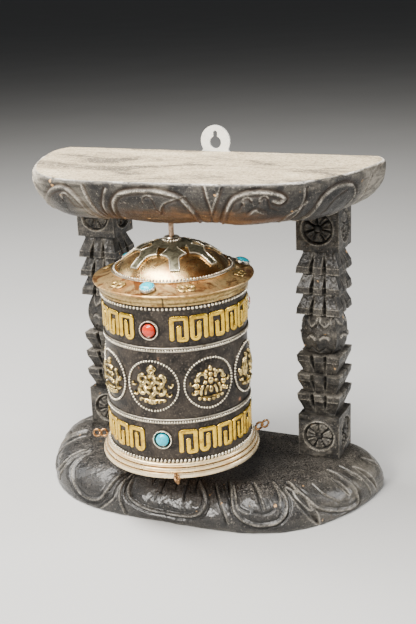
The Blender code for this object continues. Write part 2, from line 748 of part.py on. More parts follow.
def add_stone(axis, name, surface, angle, radius, height, tilt):
    """A domed stone in a dish-shaped bezel; tilt turns its outward side from up to the front."""
    rim_inner = BEZEL_RADIUS - 1.4 * BEZEL_WALL
    rim_outer = BEZEL_RADIUS - 0.4 * BEZEL_WALL
    bezel_profile = [(0.0, BEZEL_FLOOR), (BEZEL_RADIUS - 2.0 * BEZEL_WALL, BEZEL_FLOOR),
                     (rim_inner, BEZEL_HEIGHT), (rim_outer, BEZEL_HEIGHT),
                     (BEZEL_RADIUS, 0.0), (0.0, 0.0)]
    bezel = lathe(f"{name}_bezel", bezel_profile, white_metal(), axis, closed=False,
                  steps=SMALL_STEPS)
    place_on_drum(bezel, angle, radius, height, tilt)
    foot = BEZEL_FLOOR + GAP
    stone_profile = []
    for index in range(STONE_LEVELS + 1):
        turn = 0.5 * math.pi * index / STONE_LEVELS
        stone_profile.append((STONE_RADIUS * math.sin(turn), foot + STONE_HEIGHT * math.cos(turn)))
    stone_profile.append((0.0, foot))
    stone = lathe(f"{name}_stone", stone_profile, surface, axis, closed=False, steps=SMALL_STEPS)
    place_on_drum(stone, angle, radius, height, tilt)


def add_stones(axis):
    upright = math.radians(90.0)
    pitch = 2.0 * math.pi / STONE_COUNT
    stand_off = 2.0 * GAP + BAND_THICKNESS + BEZEL_RADIUS ** 2 / (2.0 * SHELL_TOP_RADIUS)
    slope = math.atan2(LID_SEAT_Z - LID_RIM_Z, LID_RIM_RADIUS - LID_SEAT_RADIUS)
    share = (LID_STONE_RADIUS_OUT - LID_SEAT_RADIUS) / (LID_RIM_RADIUS - LID_SEAT_RADIUS)
    brim_z = LID_SEAT_Z + share * (LID_RIM_Z - LID_SEAT_Z)
    for index in range(STONE_COUNT):
        number = index + 1
        add_stone(axis, f"coral_{number}", coral(), HIGH_STONE_ANGLE + index * pitch,
                  shell_radius(HIGH_STONE_Z) + stand_off, HIGH_STONE_Z, upright)
        add_stone(axis, f"turquoise_{number}", turquoise(), LOW_STONE_ANGLE + index * pitch,
                  shell_radius(LOW_STONE_Z) + stand_off, LOW_STONE_Z, upright)
        add_stone(axis, f"lid_turquoise_{number}", turquoise(), LID_STONE_ANGLE + index * pitch,
                  LID_STONE_RADIUS_OUT + LID_STONE_LIFT * math.sin(slope),
                  brim_z + LID_STONE_LIFT * math.cos(slope), slope)


# Lid.

def add_lid_brim(axis):
    profile = [
        (LID_BORE, LID_SEAT_Z),
        (LID_SEAT_RADIUS, LID_SEAT_Z),
        (LID_RIM_RADIUS - 0.2 * LID_RIM_THICKNESS, LID_RIM_Z),
        (LID_RIM_RADIUS, LID_RIM_Z - 0.3 * LID_RIM_THICKNESS),
        (LID_RIM_RADIUS, LID_RIM_Z - LID_RIM_THICKNESS),
        (LID_RIM_RADIUS - 0.55 * CAVETTO_DEPTH, LID_RIM_Z - 1.6 * LID_RIM_THICKNESS),
        (LID_RIM_RADIUS - 0.9 * CAVETTO_DEPTH, LID_RIM_Z - 2.75 * LID_RIM_THICKNESS),
        (LID_RIM_RADIUS - CAVETTO_DEPTH, LID_BOTTOM),
        (SHELL_TOP_RADIUS, LID_BOTTOM),
        (SHELL_TOP_RADIUS, LID_RIM_Z - 2.2 * LID_SHEET),
        (LID_SEAT_RADIUS, LID_SEAT_Z - 1.6 * LID_SHEET),
        (LID_BORE, LID_SEAT_Z - LID_SHEET),
    ]
    lathe("lid_brim", profile, copper(), axis)


def dome_arc(offset, inner, outer, levels):
    """Points on a sphere cap moved out by an offset, from an inner radius to an outer one."""
    ball = (DOME_RADIUS ** 2 + DOME_RISE ** 2) / (2.0 * DOME_RISE)
    centre_z = DOME_BASE_Z + DOME_RISE - ball
    points = []
    for index in range(levels + 1):
        radius = inner + (outer - inner) * index / levels
        points.append((radius, centre_z + math.sqrt((ball + offset) ** 2 - radius ** 2)))
    return points


def add_dome(axis):
    outer = dome_arc(0.0, DOME_HOLE, DOME_RADIUS, DOME_LEVELS)
    inner = dome_arc(-DOME_WALL, DOME_HOLE, DOME_RADIUS - DOME_WALL, DOME_LEVELS)
    lathe("dome", outer + list(reversed(inner)), copper(), axis)


def overlay_leg_side():
    """Distance out and half width of one leg: a neck, a wide shoulder and a straight end."""
    side = [(OVERLAY_HUB, OVERLAY_NECK_HALF)]
    for index in range(OVERLAY_CURVE_POINTS + 1):
        share = index / OVERLAY_CURVE_POINTS
        along = OVERLAY_SHOULDER + share * (OVERLAY_LEG_START - OVERLAY_SHOULDER)
        flare = (OVERLAY_SHOULDER_HALF - OVERLAY_LEG_HALF) * (1.0 - share) ** OVERLAY_CURVE_POWER
        side.append((along, OVERLAY_LEG_HALF + flare))
    side.append((OVERLAY_LEG_END, OVERLAY_LEG_HALF))
    return side


def overlay_outline():
    """A hub with shouldered legs, as one closed outline in plan."""
    side = overlay_leg_side()
    leg_outline = [(along, -across) for along, across in side] + list(reversed(side))
    points = []
    for leg in range(OVERLAY_LEGS):
        turn = 2.0 * math.pi * leg / OVERLAY_LEGS + OVERLAY_FIRST_ANGLE - math.radians(90.0)
        for along, across in leg_outline:
            x = along * math.cos(turn) - across * math.sin(turn)
            y = along * math.sin(turn) + across * math.cos(turn)
            points.append((x, y))
    return points


def add_dome_overlay(axis):
    levels = 4
    reach = OVERLAY_LEG_END + OVERLAY_BLANK_MARGIN
    upper = dome_arc(GAP + OVERLAY_THICKNESS, OVERLAY_INNER, reach, levels)
    lower = dome_arc(GAP, OVERLAY_INNER, reach, levels)
    blank = lathe("overlay_blank", upper + list(reversed(lower)), white_metal())
    curve = bpy.data.curves.new("overlay_cutter", "CURVE")
    curve.dimensions = "2D"
    curve.fill_mode = "BOTH"
    curve.extrude = DOME_RISE
    add_spline(curve, overlay_outline())
    outline = bpy.data.objects.new("overlay_outline", curve)
    parts.objects.link(outline)
    outline.location = (0.0, 0.0, DOME_BASE_Z + DOME_RISE / 2.0)
    bpy.context.view_layer.update()
    cutter = settle(outline)
    parts.objects.unlink(cutter)
    cutters.objects.link(cutter)
    cutter.name = "overlay_cutter"
    cutter.hide_render = True
    cutter.display_type = "WIRE"
    boolean(blank, cutter, "INTERSECT")
    mesh = solid_mesh(blank)
    shade(mesh)
    bpy.data.objects.remove(blank, do_unlink=True)
    add_object("dome_overlay", mesh, None, axis)


def add_lid_rings(axis):
    ring_torus("dome_bead_ring", DOME_RADIUS + GAP + BEAD_RADIUS, BEAD_RADIUS,
               LID_SEAT_Z + GAP + BEAD_RADIUS, white_metal(), axis)
    apex = dome_arc(0.0, APEX_RING_RADIUS, APEX_RING_RADIUS, 1)[0][1]
    thickness = BEAD_RADIUS * 0.9
    ring_torus("apex_ring", APEX_RING_RADIUS, thickness, apex + GAP + thickness,
               white_metal(), axis)


# Wire eyes.

def loop_path():
    """An S-shaped wire that closes into an inner and an outer eye, in the X and Z directions."""
    eye = LOOP_EYE_RADIUS
    centre = LOOP_WIRE_RADIUS + 2.0 * eye
    points = []
    for index in range(LOOP_POINTS + 1):
        turn = LOOP_OPENING + (2.0 * math.pi - LOOP_OPENING) * index / LOOP_POINTS
        points.append((centre - eye + eye * math.cos(turn), eye * math.sin(turn)))
    for index in range(1, LOOP_POINTS + 1):
        turn = math.pi - (2.0 * math.pi - LOOP_OPENING) * index / LOOP_POINTS
        points.append((centre + eye + eye * math.cos(turn), eye * math.sin(turn)))
    return points


def add_wire_loops(axis):
    for side, (angle, start, height) in LOOP_PLACES.items():
        curve = bpy.data.curves.new(f"wire_loop_{side}", "CURVE")
        curve.dimensions = "3D"
        curve.bevel_depth = LOOP_WIRE_RADIUS
        curve.bevel_resolution = 2
        curve.use_fill_caps = True
        path = loop_path()
        spline = curve.splines.new("POLY")
        spline.points.add(len(path) - 1)
        for target, (x, z) in zip(spline.points, path):
            target.co = (start + x, 0.0, z, 1.0)
        curve.materials.append(brass())
        loop = bpy.data.objects.new(f"wire_loop_{side}", curve)
        parts.objects.link(loop)
        loop.parent = axis
        loop.location = (0.0, 0.0, height)
        loop.rotation_euler = (0.0, 0.0, angle - math.radians(90.0))


def add_axis(name):
    axis = bpy.data.objects.new(name, None)
    parts.objects.link(axis)
    axis.location = (0.0, DRUM_Y, 0.0)
    axis.empty_display_size = 0.02
    return axis


def build():
    add_base_board()
    add_top_board()
    add_post("left_post", -POST_X)
    add_post("right_post", POST_X)
    add_hanger_plate()
    add_hanger_screws()
    spindle_axis = add_axis("spindle_axis")
    add_spindle(spindle_axis)
    add_spindle_collars(spindle_axis)
    drum_axis = add_axis("drum_axis")
    add_drum_core(drum_axis)
    add_upper_bush(drum_axis)
    add_drum_shell(drum_axis)
    add_bottom_flange(drum_axis)
    add_drum_rings(drum_axis)
    add_bands(drum_axis)
    add_medallions(drum_axis)
    add_stones(drum_axis)
    add_lid_brim(drum_axis)
    add_dome(drum_axis)
    add_dome_overlay(drum_axis)
    add_lid_rings(drum_axis)
    add_wire_loops(drum_axis)


clear_scene()
parts = make_collection(OBJECT_NAME)
cutters = make_collection(CUTTERS_NAME)
build()
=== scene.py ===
"""The looks of the prayer wheel: carved stand, metal drum, camera, floor and soft light.

World places are in metres, and a factor of MM turns millimetres into metres. Carved reliefs,
post sections, overlay legs, frets and motifs are laid out in plain millimetres.
+Z is up, -Y is the front, and angles about the drum's axis start at the front and grow to +X.
"""
import math
from collections import namedtuple

import bmesh
import bpy
import numpy as np
from mathutils import Matrix, Vector


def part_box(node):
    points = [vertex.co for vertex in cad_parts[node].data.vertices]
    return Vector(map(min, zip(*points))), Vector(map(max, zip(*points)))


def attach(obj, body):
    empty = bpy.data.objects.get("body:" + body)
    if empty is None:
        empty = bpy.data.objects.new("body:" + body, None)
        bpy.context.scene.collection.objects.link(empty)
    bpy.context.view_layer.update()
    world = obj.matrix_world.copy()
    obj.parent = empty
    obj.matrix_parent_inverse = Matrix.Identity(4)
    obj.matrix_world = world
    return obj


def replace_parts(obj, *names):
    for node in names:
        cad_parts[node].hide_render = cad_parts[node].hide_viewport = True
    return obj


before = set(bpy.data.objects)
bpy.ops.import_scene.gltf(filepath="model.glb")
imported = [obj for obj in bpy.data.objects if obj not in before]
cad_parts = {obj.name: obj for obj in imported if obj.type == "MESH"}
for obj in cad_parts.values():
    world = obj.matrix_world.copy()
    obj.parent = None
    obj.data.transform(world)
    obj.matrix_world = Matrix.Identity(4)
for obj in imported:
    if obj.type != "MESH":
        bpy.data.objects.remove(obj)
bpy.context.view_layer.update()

MM = 0.001
FULL_TURN = 2.0 * math.pi
UP = Vector((0.0, 0.0, 1.0))

# Places and sizes read from the frame.
BASE_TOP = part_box("base_board")[1].z
BASE_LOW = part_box("base_board")[0].z
TOP_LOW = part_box("top_board")[0].z
TOP_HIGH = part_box("top_board")[1].z
BACK_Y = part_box("base_board")[1].y
AXIS_Y = (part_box("drum_shell")[0].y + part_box("drum_shell")[1].y) / 2.0
SHELL_LOW, SHELL_HIGH = (corner.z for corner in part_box("drum_shell"))
SHELL_LOW_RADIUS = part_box("drum_shell")[1].x
SHELL_HIGH_RADIUS = SHELL_LOW_RADIUS - 0.8 * MM


def middle_height(node):
    low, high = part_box(node)
    return (low.z + high.z) / 2.0


# Angles and counts that the design repeats.
STONES = 3
MEDALLIONS = 8
HIGH_STONE_ANGLE = math.radians(5.0)
LOW_STONE_ANGLE = math.radians(11.0)
LID_STONE_ANGLE = math.radians(5.0)
FIRST_MEDALLION_ANGLE = math.radians(5.0)
LID_SEAM_ANGLE = math.radians(17.0)
OVERLAY_FIRST_ANGLE = math.radians(27.5)
OVERLAY_LEGS = 7


# Number helpers.

def smoothstep(low, high, value):
    share = np.clip((value - low) / (high - low), 0.0, 1.0)
    return share * share * (3.0 - 2.0 * share)


def value_noise(across, along, cell, seed):
    """Smooth noise from -1 to 1 over two coordinates, the same on every run."""
    size = 64
    table = np.random.default_rng(seed).uniform(-1.0, 1.0, (size, size))
    u = across / cell
    v = along / cell
    i = np.floor(u).astype(int)
    j = np.floor(v).astype(int)
    fu = smoothstep(0.0, 1.0, u - i)
    fv = smoothstep(0.0, 1.0, v - j)
    near = table[i % size, j % size] * (1.0 - fu) + table[(i + 1) % size, j % size] * fu
    far = table[i % size, (j + 1) % size] * (1.0 - fu) + table[(i + 1) % size, (j + 1) % size] * fu
    return near * (1.0 - fv) + far * fv


def arc(centre, radius, start, end, count=12, squash=1.0):
    """Points on an arc, in degrees, anticlockwise from the first axis."""
    turns = np.radians(np.linspace(start, end, count + 1))
    return [(centre[0] + radius * math.cos(t), centre[1] + squash * radius * math.sin(t))
            for t in turns]


def mirrored(side, path):
    """The path as it is for a side of 1, or turned left to right for a side of -1."""
    return [(side * x, y) for x, y in path]


def resample(path, spacing):
    """Points at an even spacing along a polyline."""
    points = np.array(path, float)
    steps = np.hypot(*np.diff(points, axis=0).T)
    travel = np.concatenate([[0.0], np.cumsum(steps)])
    count = max(2, int(round(travel[-1] / spacing)) + 1)
    places = np.linspace(0.0, travel[-1], count)
    return np.stack([np.interp(places, travel, points[:, k]) for k in range(points.shape[1])], axis=1)


# Mesh helpers.

def grid_faces(rows, columns, wrap_rows=False, wrap_columns=False):
    faces = []
    for i in range(rows if wrap_rows else rows - 1):
        low = i * columns
        high = ((i + 1) % rows) * columns
        for j in range(columns if wrap_columns else columns - 1):
            k = (j + 1) % columns
            faces.append((low + j, low + k, high + k, high + j))
    return faces


def tube_faces(rows, columns):
    """Faces round a grid whose rows are rings, with a cap at each end."""
    last = (rows - 1) * columns
    return grid_faces(rows, columns, wrap_columns=True) + [tuple(range(columns)),
                                                           tuple(range(last, last + columns))]


def add_piece(name, points, faces, surface, body, slot, layers=None, crease=40.0, face_surfaces=None):
    """A mesh object in world coordinates, which rides on a body; layers are vertex values."""
    mesh = bpy.data.meshes.new(name)
    mesh.from_pydata([tuple(map(float, point)) for point in points], [], faces)
    surfaces = surface if isinstance(surface, (list, tuple)) else [surface]
    for entry in surfaces:
        mesh.materials.append(entry)
    if face_surfaces is not None:
        mesh.polygons.foreach_set("material_index", np.array(face_surfaces, np.int32))
    for label, values in (layers or {}).items():
        layer = mesh.attributes.new(label, "FLOAT", "POINT")
        layer.data.foreach_set("value", np.array(values, np.float32).ravel())
    shape = bmesh.new()
    shape.from_mesh(mesh)
    bmesh.ops.recalc_face_normals(shape, faces=shape.faces)
    shape.to_mesh(mesh)
    shape.free()
    mesh.shade_smooth()
    mesh.set_sharp_from_angle(angle=math.radians(crease))
    obj = bpy.data.objects.new(name, mesh)
    bpy.context.scene.collection.objects.link(obj)
    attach(obj, body)
    return obj


def around_drum(angle, radius, height):
    return Vector((radius * math.sin(angle), AXIS_Y - radius * math.cos(angle), height))


SEAM_DEPTH = 0.35 * MM


def lathe(name, profile, surface, body, slot, segments, closed=True, crease=40.0, seam=None):
    """Turn (radius, height, shade) rows about the drum's axis, with a thin seam at an angle; the third
    number is painted shade.
    """
    rows = len(profile)
    half_step = math.pi / segments
    turns = np.linspace(0.0, FULL_TURN, segments, endpoint=False)
    points = []
    recess_shade = []
    crack = []
    for entry in profile:
        radius, height = entry[0], entry[1]
        # The third number is painted shade, though it is called depth here.
        depth = entry[2] if len(entry) > 2 else 0.0
        lean = 0.9 * half_step * math.sin(height / MM * 1.9)
        for turn in turns:
            in_seam = seam is not None and depth > 0.5 and abs(turn + lean - seam) < 1.05 * half_step
            reach = radius - (SEAM_DEPTH if in_seam else 0.0)
            points.append((reach * math.sin(turn), AXIS_Y - reach * math.cos(turn), height))
            recess_shade.append(depth)
            crack.append(1.0 if in_seam else 0.0)
    faces = grid_faces(rows, segments, True, True) if closed else tube_faces(rows, segments)
    layers = {"recess_shade": recess_shade, "crack": crack}
    return add_piece(name, points, faces, surface, body, slot, layers, crease=crease)


def bar_section(*half):
    """A bar's section as (share of width, share of height), mirrored about its middle."""
    return half + ((0.0, 1.0),) + tuple((-share, level) for share, level in reversed(half))


# Each section spreads into a low foot, which the bar paints dark as the shade where it meets the wall.
ROUND_BAR = bar_section((-0.62, 0.0), (-0.50, 0.12), (-0.45, 0.52), (-0.28, 0.90))
FLAT_BAR = bar_section((-0.62, 0.0), (-0.52, 0.10), (-0.49, 0.80), (-0.42, 0.97))
BAR_FOOT_LEVEL = 0.2
BAR_END_SIZE = 0.45


class Shapes:
    """Collects many small solids into one piece."""

    def __init__(self):
        self.points = []
        self.faces = []
        self.recess_shade = []

    def add(self, points, faces, recess_shade=None):
        start = len(self.points)
        self.points += list(points)
        self.faces += [tuple(start + index for index in face) for face in faces]
        self.recess_shade += list(recess_shade) if recess_shade is not None else [0.0] * len(points)

    def ball(self, place, frame_axes, radii, levels=6, sides=10):
        """An ellipsoid at a place, with its radii along three given axes."""
        points = []
        for level in range(1, levels):
            latitude = math.pi * level / levels
            for side in range(sides):
                turn = FULL_TURN * side / sides
                local = (math.sin(latitude) * math.cos(turn), math.sin(latitude) * math.sin(turn),
                         math.cos(latitude))
                points.append(place + sum((axis * (radius * share) for axis, radius, share
                                           in zip(frame_axes, radii, local)), Vector()))
        faces = grid_faces(levels - 1, sides, wrap_columns=True)
        top = len(points)
        points.append(place + frame_axes[2] * radii[2])
        points.append(place - frame_axes[2] * radii[2])
        last = (levels - 2) * sides
        for side in range(sides):
            follower = (side + 1) % sides
            faces.append((top, side, follower))
            faces.append((top + 1, last + follower, last + side))
        self.add(points, faces)

    def bar(self, path, width, height, place, lift=None, section=ROUND_BAR):
        """A low bar along a plan path; place turns (across, along, height) into a point. Its foot and lower
        sides are painted with shade, and so is each stretch that the lift sinks under another bar.
        """
        path = np.array(path, float)
        last = len(path) - 1
        points = []
        recess_shade = []
        for index, middle in enumerate(path):
            direction = path[min(index + 1, last)] - path[max(index - 1, 0)]
            direction = direction / (np.hypot(*direction) or 1.0)
            normal = np.array((-direction[1], direction[0]))
            size = BAR_END_SIZE if index in (0, last) else 1.0
            rise = lift(index) if lift else 0.0
            for share, level in section:
                spot = middle + normal * (share * width * size)
                top = height * level * (0.75 + 0.25 * size) + (rise if level > 0.0 else 0.0)
                points.append(place(spot[0], spot[1], top))
                # Painted shade: full at the foot, less up the sides, and more where the weave sinks the bar.
                shade = 1.0 if level < BAR_FOOT_LEVEL else 0.4 * (1.0 - level)
                recess_shade.append(max(shade, -rise))
        self.add(points, tube_faces(len(path), len(section)), recess_shade)

    def wire(self, path, radius, closed=False, sides=8):
        """A round wire through points in space."""
        count = len(path)
        points = []
        for index in range(count):
            before = path[index - 1] if index or closed else path[0]
            after = path[(index + 1) % count] if index < count - 1 or closed else path[-1]
            ahead = (after - before).normalized()
            guide = UP if abs(ahead.z) < 0.9 else Vector((1.0, 0.0, 0.0))
            sideways = ahead.cross(guide).normalized()
            upward = sideways.cross(ahead)
            for side in range(sides):
                turn = FULL_TURN * side / sides
                points.append(path[index] + sideways * (radius * math.cos(turn))
                              + upward * (radius * math.sin(turn)))
        self.add(points, grid_faces(count, sides, True, True) if closed else tube_faces(count, sides))

    def piece(self, name, surface, body, slot):
        return add_piece(name, self.points, self.faces, surface, body, slot, {"recess_shade": self.recess_shade}, 50.0)


# Materials.

class Surface:
    """A Principled material with short calls for the nodes that the surfaces below need."""

    def __init__(self, name, roughness=0.5, metallic=0.0):
        self.material = bpy.data.materials.new(name)
        self.material.use_nodes = True
        self.tree = self.material.node_tree
        self.shader = self.tree.nodes["Principled BSDF"]
        self.set("Roughness", roughness)
        self.set("Metallic", metallic)
        self.place = self.tree.nodes.new("ShaderNodeTexCoord").outputs["Object"]

    def feed(self, socket, value):
        if isinstance(value, bpy.types.NodeSocket):
            self.tree.links.new(value, socket)
        elif isinstance(value, tuple) and len(value) == 3 and socket.type == "RGBA":
            socket.default_value = (*value, 1.0)
        else:
            socket.default_value = value

    def set(self, name, value):
        self.feed(self.shader.inputs[name], value)

    def node(self, kind, output, inputs, **settings):
        """A new shader node with its settings and inputs; returns one of its outputs."""
        node = self.tree.nodes.new("ShaderNode" + kind)
        for name, value in settings.items():
            setattr(node, name, value)
        for name, value in inputs.items():
            self.feed(node.inputs[name], value)
        return node.outputs[output]

    def noise(self, scale, detail=4.0, roughness=0.55, stretch=None, distortion=0.0):
        place = self.place
        if stretch is not None:
            place = self.node("Mapping", "Vector", {"Scale": stretch, "Vector": place})
        return self.node("TexNoise", "Fac", {"Vector": place, "Scale": scale, "Detail": detail,
                                             "Roughness": roughness, "Distortion": distortion})

    def cells(self, scale):
        return self.node("TexVoronoi", "Distance", {"Vector": self.place, "Scale": scale})

    def layer(self, name):
        return self.node("Attribute", "Fac", {}, attribute_name=name)

    def share(self, source, low, high, to_low=0.0, to_high=1.0):
        """The source between two limits, eased to run between two other values."""
        return self.node("MapRange", "Result", {"Value": source, "From Min": low, "From Max": high,
                                                "To Min": to_low, "To Max": to_high},
                         interpolation_type="SMOOTHSTEP")

    def combine(self, operation, first, second, clamp=False):
        return self.node("Math", "Value", {0: first, 1: second}, operation=operation, use_clamp=clamp)

    def mix(self, share, first, second):
        return self.node("Mix", "Result", {"Factor": share, "A": first, "B": second}, data_type="RGBA")

    def bump(self, height, distance):
        self.set("Normal", self.node("Bump", "Normal", {"Strength": 1.0, "Distance": distance,
                                                        "Height": height}))


BLACK_PAINT = (0.004, 0.0037, 0.0037)
GREY_PAINT = (0.0165, 0.0150, 0.0140)
DUSTY_PAINT = (0.125, 0.112, 0.095)
WORN_EDGE = (0.52, 0.475, 0.40)
PALE_WOOD = (0.60, 0.54, 0.44)
KHAKI_WOOD = (0.33, 0.29, 0.225)
BARE_WOOD = (0.125, 0.060, 0.024)
DARK_WOOD = (0.026, 0.013, 0.008)
CHIP_WOOD = (0.58, 0.33, 0.13)


def carved_paint(name, wear, dust, dust_colour, recess_dirt_and_shade, gloss, speckle=0.0, coat=0.0):
    """Black paint over wood: dusty in patches, light on the worn rims, and dark in the cuts with dirt and
    painted shade.
    """
    s = Surface(name)
    s.set("Specular IOR Level", 0.35)
    s.set("Coat Weight", coat)
    s.set("Coat Roughness", 0.20)
    fine = s.noise(950.0, 6.0, 0.68)
    coarse = s.noise(120.0, 5.0, 0.62)
    grain = s.noise(62.0, 6.0, 0.62, stretch=(0.30, 1.0, 3.6), distortion=0.7)
    paint = s.mix(s.share(coarse, 0.36, 0.66), BLACK_PAINT, GREY_PAINT)
    dusted = s.combine("MULTIPLY", s.share(fine, 0.44, 0.60), s.share(coarse, 0.34, 0.60))
    dusted = s.combine("ADD", dusted, s.share(grain, 0.52, 0.66, 0.0, 0.4))
    dusted = s.combine("MULTIPLY", dusted, dust, clamp=True)
    colour = s.mix(dusted, paint, dust_colour)
    flecks = s.share(s.noise(720.0, 4.0, 0.7), 0.60, 0.66, 0.0, 0.60)
    colour = s.mix(flecks, colour, (0.24, 0.215, 0.18))
    if speckle:
        height = s.node("SeparateXYZ", "Z", {"Vector": s.place})
        upward = s.share(height, 0.0205, 0.0238)
        spots = s.combine("MULTIPLY", s.share(fine, 0.52, 0.64, 0.0, speckle), upward)
        colour = s.mix(spots, colour, (0.30, 0.27, 0.235))
    # The cuts take a dark colour that stands for dirt and painted shade in the hollows.
    cut = s.combine("MULTIPLY", s.layer("recess_shade"), s.share(coarse, 0.25, 0.55, 0.45, 1.0))
    colour = s.mix(cut, colour, recess_dirt_and_shade)
    pale_here = s.combine("MULTIPLY", s.layer("pale"), s.share(grain, 0.30, 0.62, 0.25, 1.0), clamp=True)
    colour = s.mix(pale_here, colour, s.mix(s.share(grain, 0.40, 0.66), KHAKI_WOOD, PALE_WOOD))
    worn_here = s.combine("MULTIPLY", s.layer("rim"), s.share(fine, 0.40, 0.56, 0.15, 1.0))
    worn_here = s.combine("MULTIPLY", worn_here, s.share(coarse, 0.34, 0.58, 0.20, 1.0))
    worn_here = s.combine("MULTIPLY", worn_here, wear, clamp=True)
    colour = s.mix(worn_here, colour, WORN_EDGE)
    wood = s.mix(s.share(grain, 0.34, 0.64), BARE_WOOD, DARK_WOOD)
    bare_here = s.combine("MULTIPLY", s.layer("bare"), s.share(fine, 0.30, 0.48, 0.55, 1.0))
    colour = s.mix(bare_here, colour, wood)
    white = s.mix(s.share(fine, 0.40, 0.60), (0.56, 0.52, 0.46), (0.95, 0.91, 0.83))
    colour = s.mix(s.layer("white"), colour, white)
    chips = s.combine("MULTIPLY", s.share(s.cells(88.0), 0.13, 0.09), s.share(coarse, 0.545, 0.58))
    colour = s.mix(chips, colour, CHIP_WOOD)
    s.set("Base Color", colour)
    rough = s.share(fine, 0.35, 0.65, gloss - 0.06, gloss + 0.16)
    s.set("Roughness", s.combine("ADD", rough, s.share(s.layer("pale"), 0.0, 1.0, 0.0, 0.25)))
    s.bump(s.combine("ADD", fine, s.combine("MULTIPLY", grain, 0.8)), 0.60 * MM)
    return s.material


def cream_paint():
    """The top board's upper face: worn, dusty cream with soft grey patches and scratches."""
    s = Surface("cream_paint")
    s.set("Specular IOR Level", 0.10)
    patches = s.noise(17.0, 6.0, 0.68, stretch=(0.60, 1.5, 1.0), distortion=1.1)
    streaks = s.noise(60.0, 5.0, 0.62, stretch=(0.28, 1.9, 1.0), distortion=0.8)
    fine = s.noise(620.0, 5.0, 0.74)
    colour = s.mix(s.share(patches, 0.38, 0.52), (0.13, 0.110, 0.085), (0.46, 0.375, 0.245))
    colour = s.mix(s.share(patches, 0.52, 0.68, 0.0, 0.9), colour, (0.66, 0.555, 0.375))
    colour = s.mix(s.share(streaks, 0.54, 0.68, 0.0, 0.55), colour, (0.12, 0.102, 0.078))
    colour = s.mix(s.share(fine, 0.52, 0.62, 0.0, 0.75), colour, (0.09, 0.078, 0.062))
    colour = s.mix(s.share(fine, 0.46, 0.36, 0.0, 0.55), colour, (0.82, 0.71, 0.52))
    s.set("Base Color", colour)
    s.set("Roughness", s.share(fine, 0.3, 0.7, 0.60, 0.80))
    s.bump(s.combine("ADD", fine, streaks), 0.22 * MM)
    return s.material


def metal(name, bright, dark, roughness, tarnish, scale, hollow=(0.02, 0.018, 0.016), metallic=1.0):
    """Metal that is bright where it is rubbed and dull where it is tarnished; it is painted dark with shade
    in hollows and at the feet of bars.
    """
    s = Surface(name, metallic=metallic)
    coarse = s.noise(scale, 5.0, 0.6, distortion=0.5)
    fine = s.noise(scale * 7.0, 4.0, 0.6)
    colour = s.mix(s.share(coarse, 0.62 - 0.35 * tarnish, 0.80 - 0.2 * tarnish), bright, dark)
    colour = s.mix(s.share(fine, 0.55, 0.75, 0.0, 0.45), colour, dark)
    # Painted shade: the hollow colour where the layer marks a hollow, a bar's foot or a sunk weave.
    colour = s.mix(s.layer("recess_shade"), colour, hollow)
    s.set("Base Color", colour)
    s.set("Roughness", s.share(coarse, 0.3, 0.7, roughness, roughness + 0.18))
    s.bump(s.combine("ADD", coarse, s.combine("MULTIPLY", fine, 0.5)), 0.08 * MM)
    return s.material


def oxidised_metal():
    """The drum's ground: dark grey-brown patina with a dull sheen and a few copper rubs."""
    s = Surface("oxidised_metal", metallic=0.65)
    coarse = s.noise(95.0, 6.0, 0.62, distortion=0.6)
    fine = s.noise(750.0, 5.0, 0.65)
    colour = s.mix(s.share(coarse, 0.32, 0.68), (0.013, 0.0115, 0.0105), (0.058, 0.047, 0.038))
    colour = s.mix(s.share(fine, 0.52, 0.70, 0.0, 0.6), colour, (0.19, 0.155, 0.125))
    rubs = s.combine("MULTIPLY", s.share(s.cells(62.0), 0.15, 0.05), s.share(coarse, 0.52, 0.60))
    colour = s.mix(rubs, colour, (0.55, 0.27, 0.15))
    s.set("Base Color", colour)
    s.set("Roughness", s.share(fine, 0.3, 0.7, 0.30, 0.52))
    s.bump(s.combine("ADD", coarse, fine), 0.14 * MM)
    return s.material


def rubbed_copper(name, metallic, roughness, stain):
    """The lid or the dome: rubbed copper that turns to bronze and brown in patches."""
    s = Surface(name, metallic=metallic)
    coarse = s.noise(42.0, 5.0, 0.6, distortion=0.9)
    fine = s.noise(620.0, 4.0, 0.6)
    cloud = s.noise(105.0, 6.0, 0.65, distortion=1.2)
    colour = s.mix(s.share(coarse, 0.34, 0.56), (0.84, 0.42, 0.14), (1.0, 0.71, 0.32))
    colour = s.mix(s.share(coarse, 0.55, 0.66, 0.0, 0.75), colour, (0.54, 0.22, 0.075))
    colour = s.mix(s.share(cloud, 0.49, 0.61, 0.0, stain), colour, (0.34, 0.135, 0.042))
    colour = s.mix(s.share(fine, 0.52, 0.68, 0.0, 0.45), colour, (0.34, 0.16, 0.06))
    # The hollow colour is painted shade, laid on the lid's cavetto, its steps, under its rim and inside its
    # skirt.
    hollow = s.mix(s.share(fine, 0.38, 0.62), (0.46, 0.34, 0.13), (0.22, 0.15, 0.06))
    colour = s.mix(s.layer("recess_shade"), colour, hollow)
    colour = s.mix(s.layer("crack"), colour, (0.03, 0.02, 0.012))
    s.set("Base Color", colour)
    s.set("Roughness", s.share(coarse, 0.3, 0.7, roughness, roughness + 0.12))
    s.bump(s.combine("ADD", coarse, s.combine("MULTIPLY", fine, 0.3)), 0.14 * MM)
    return s.material


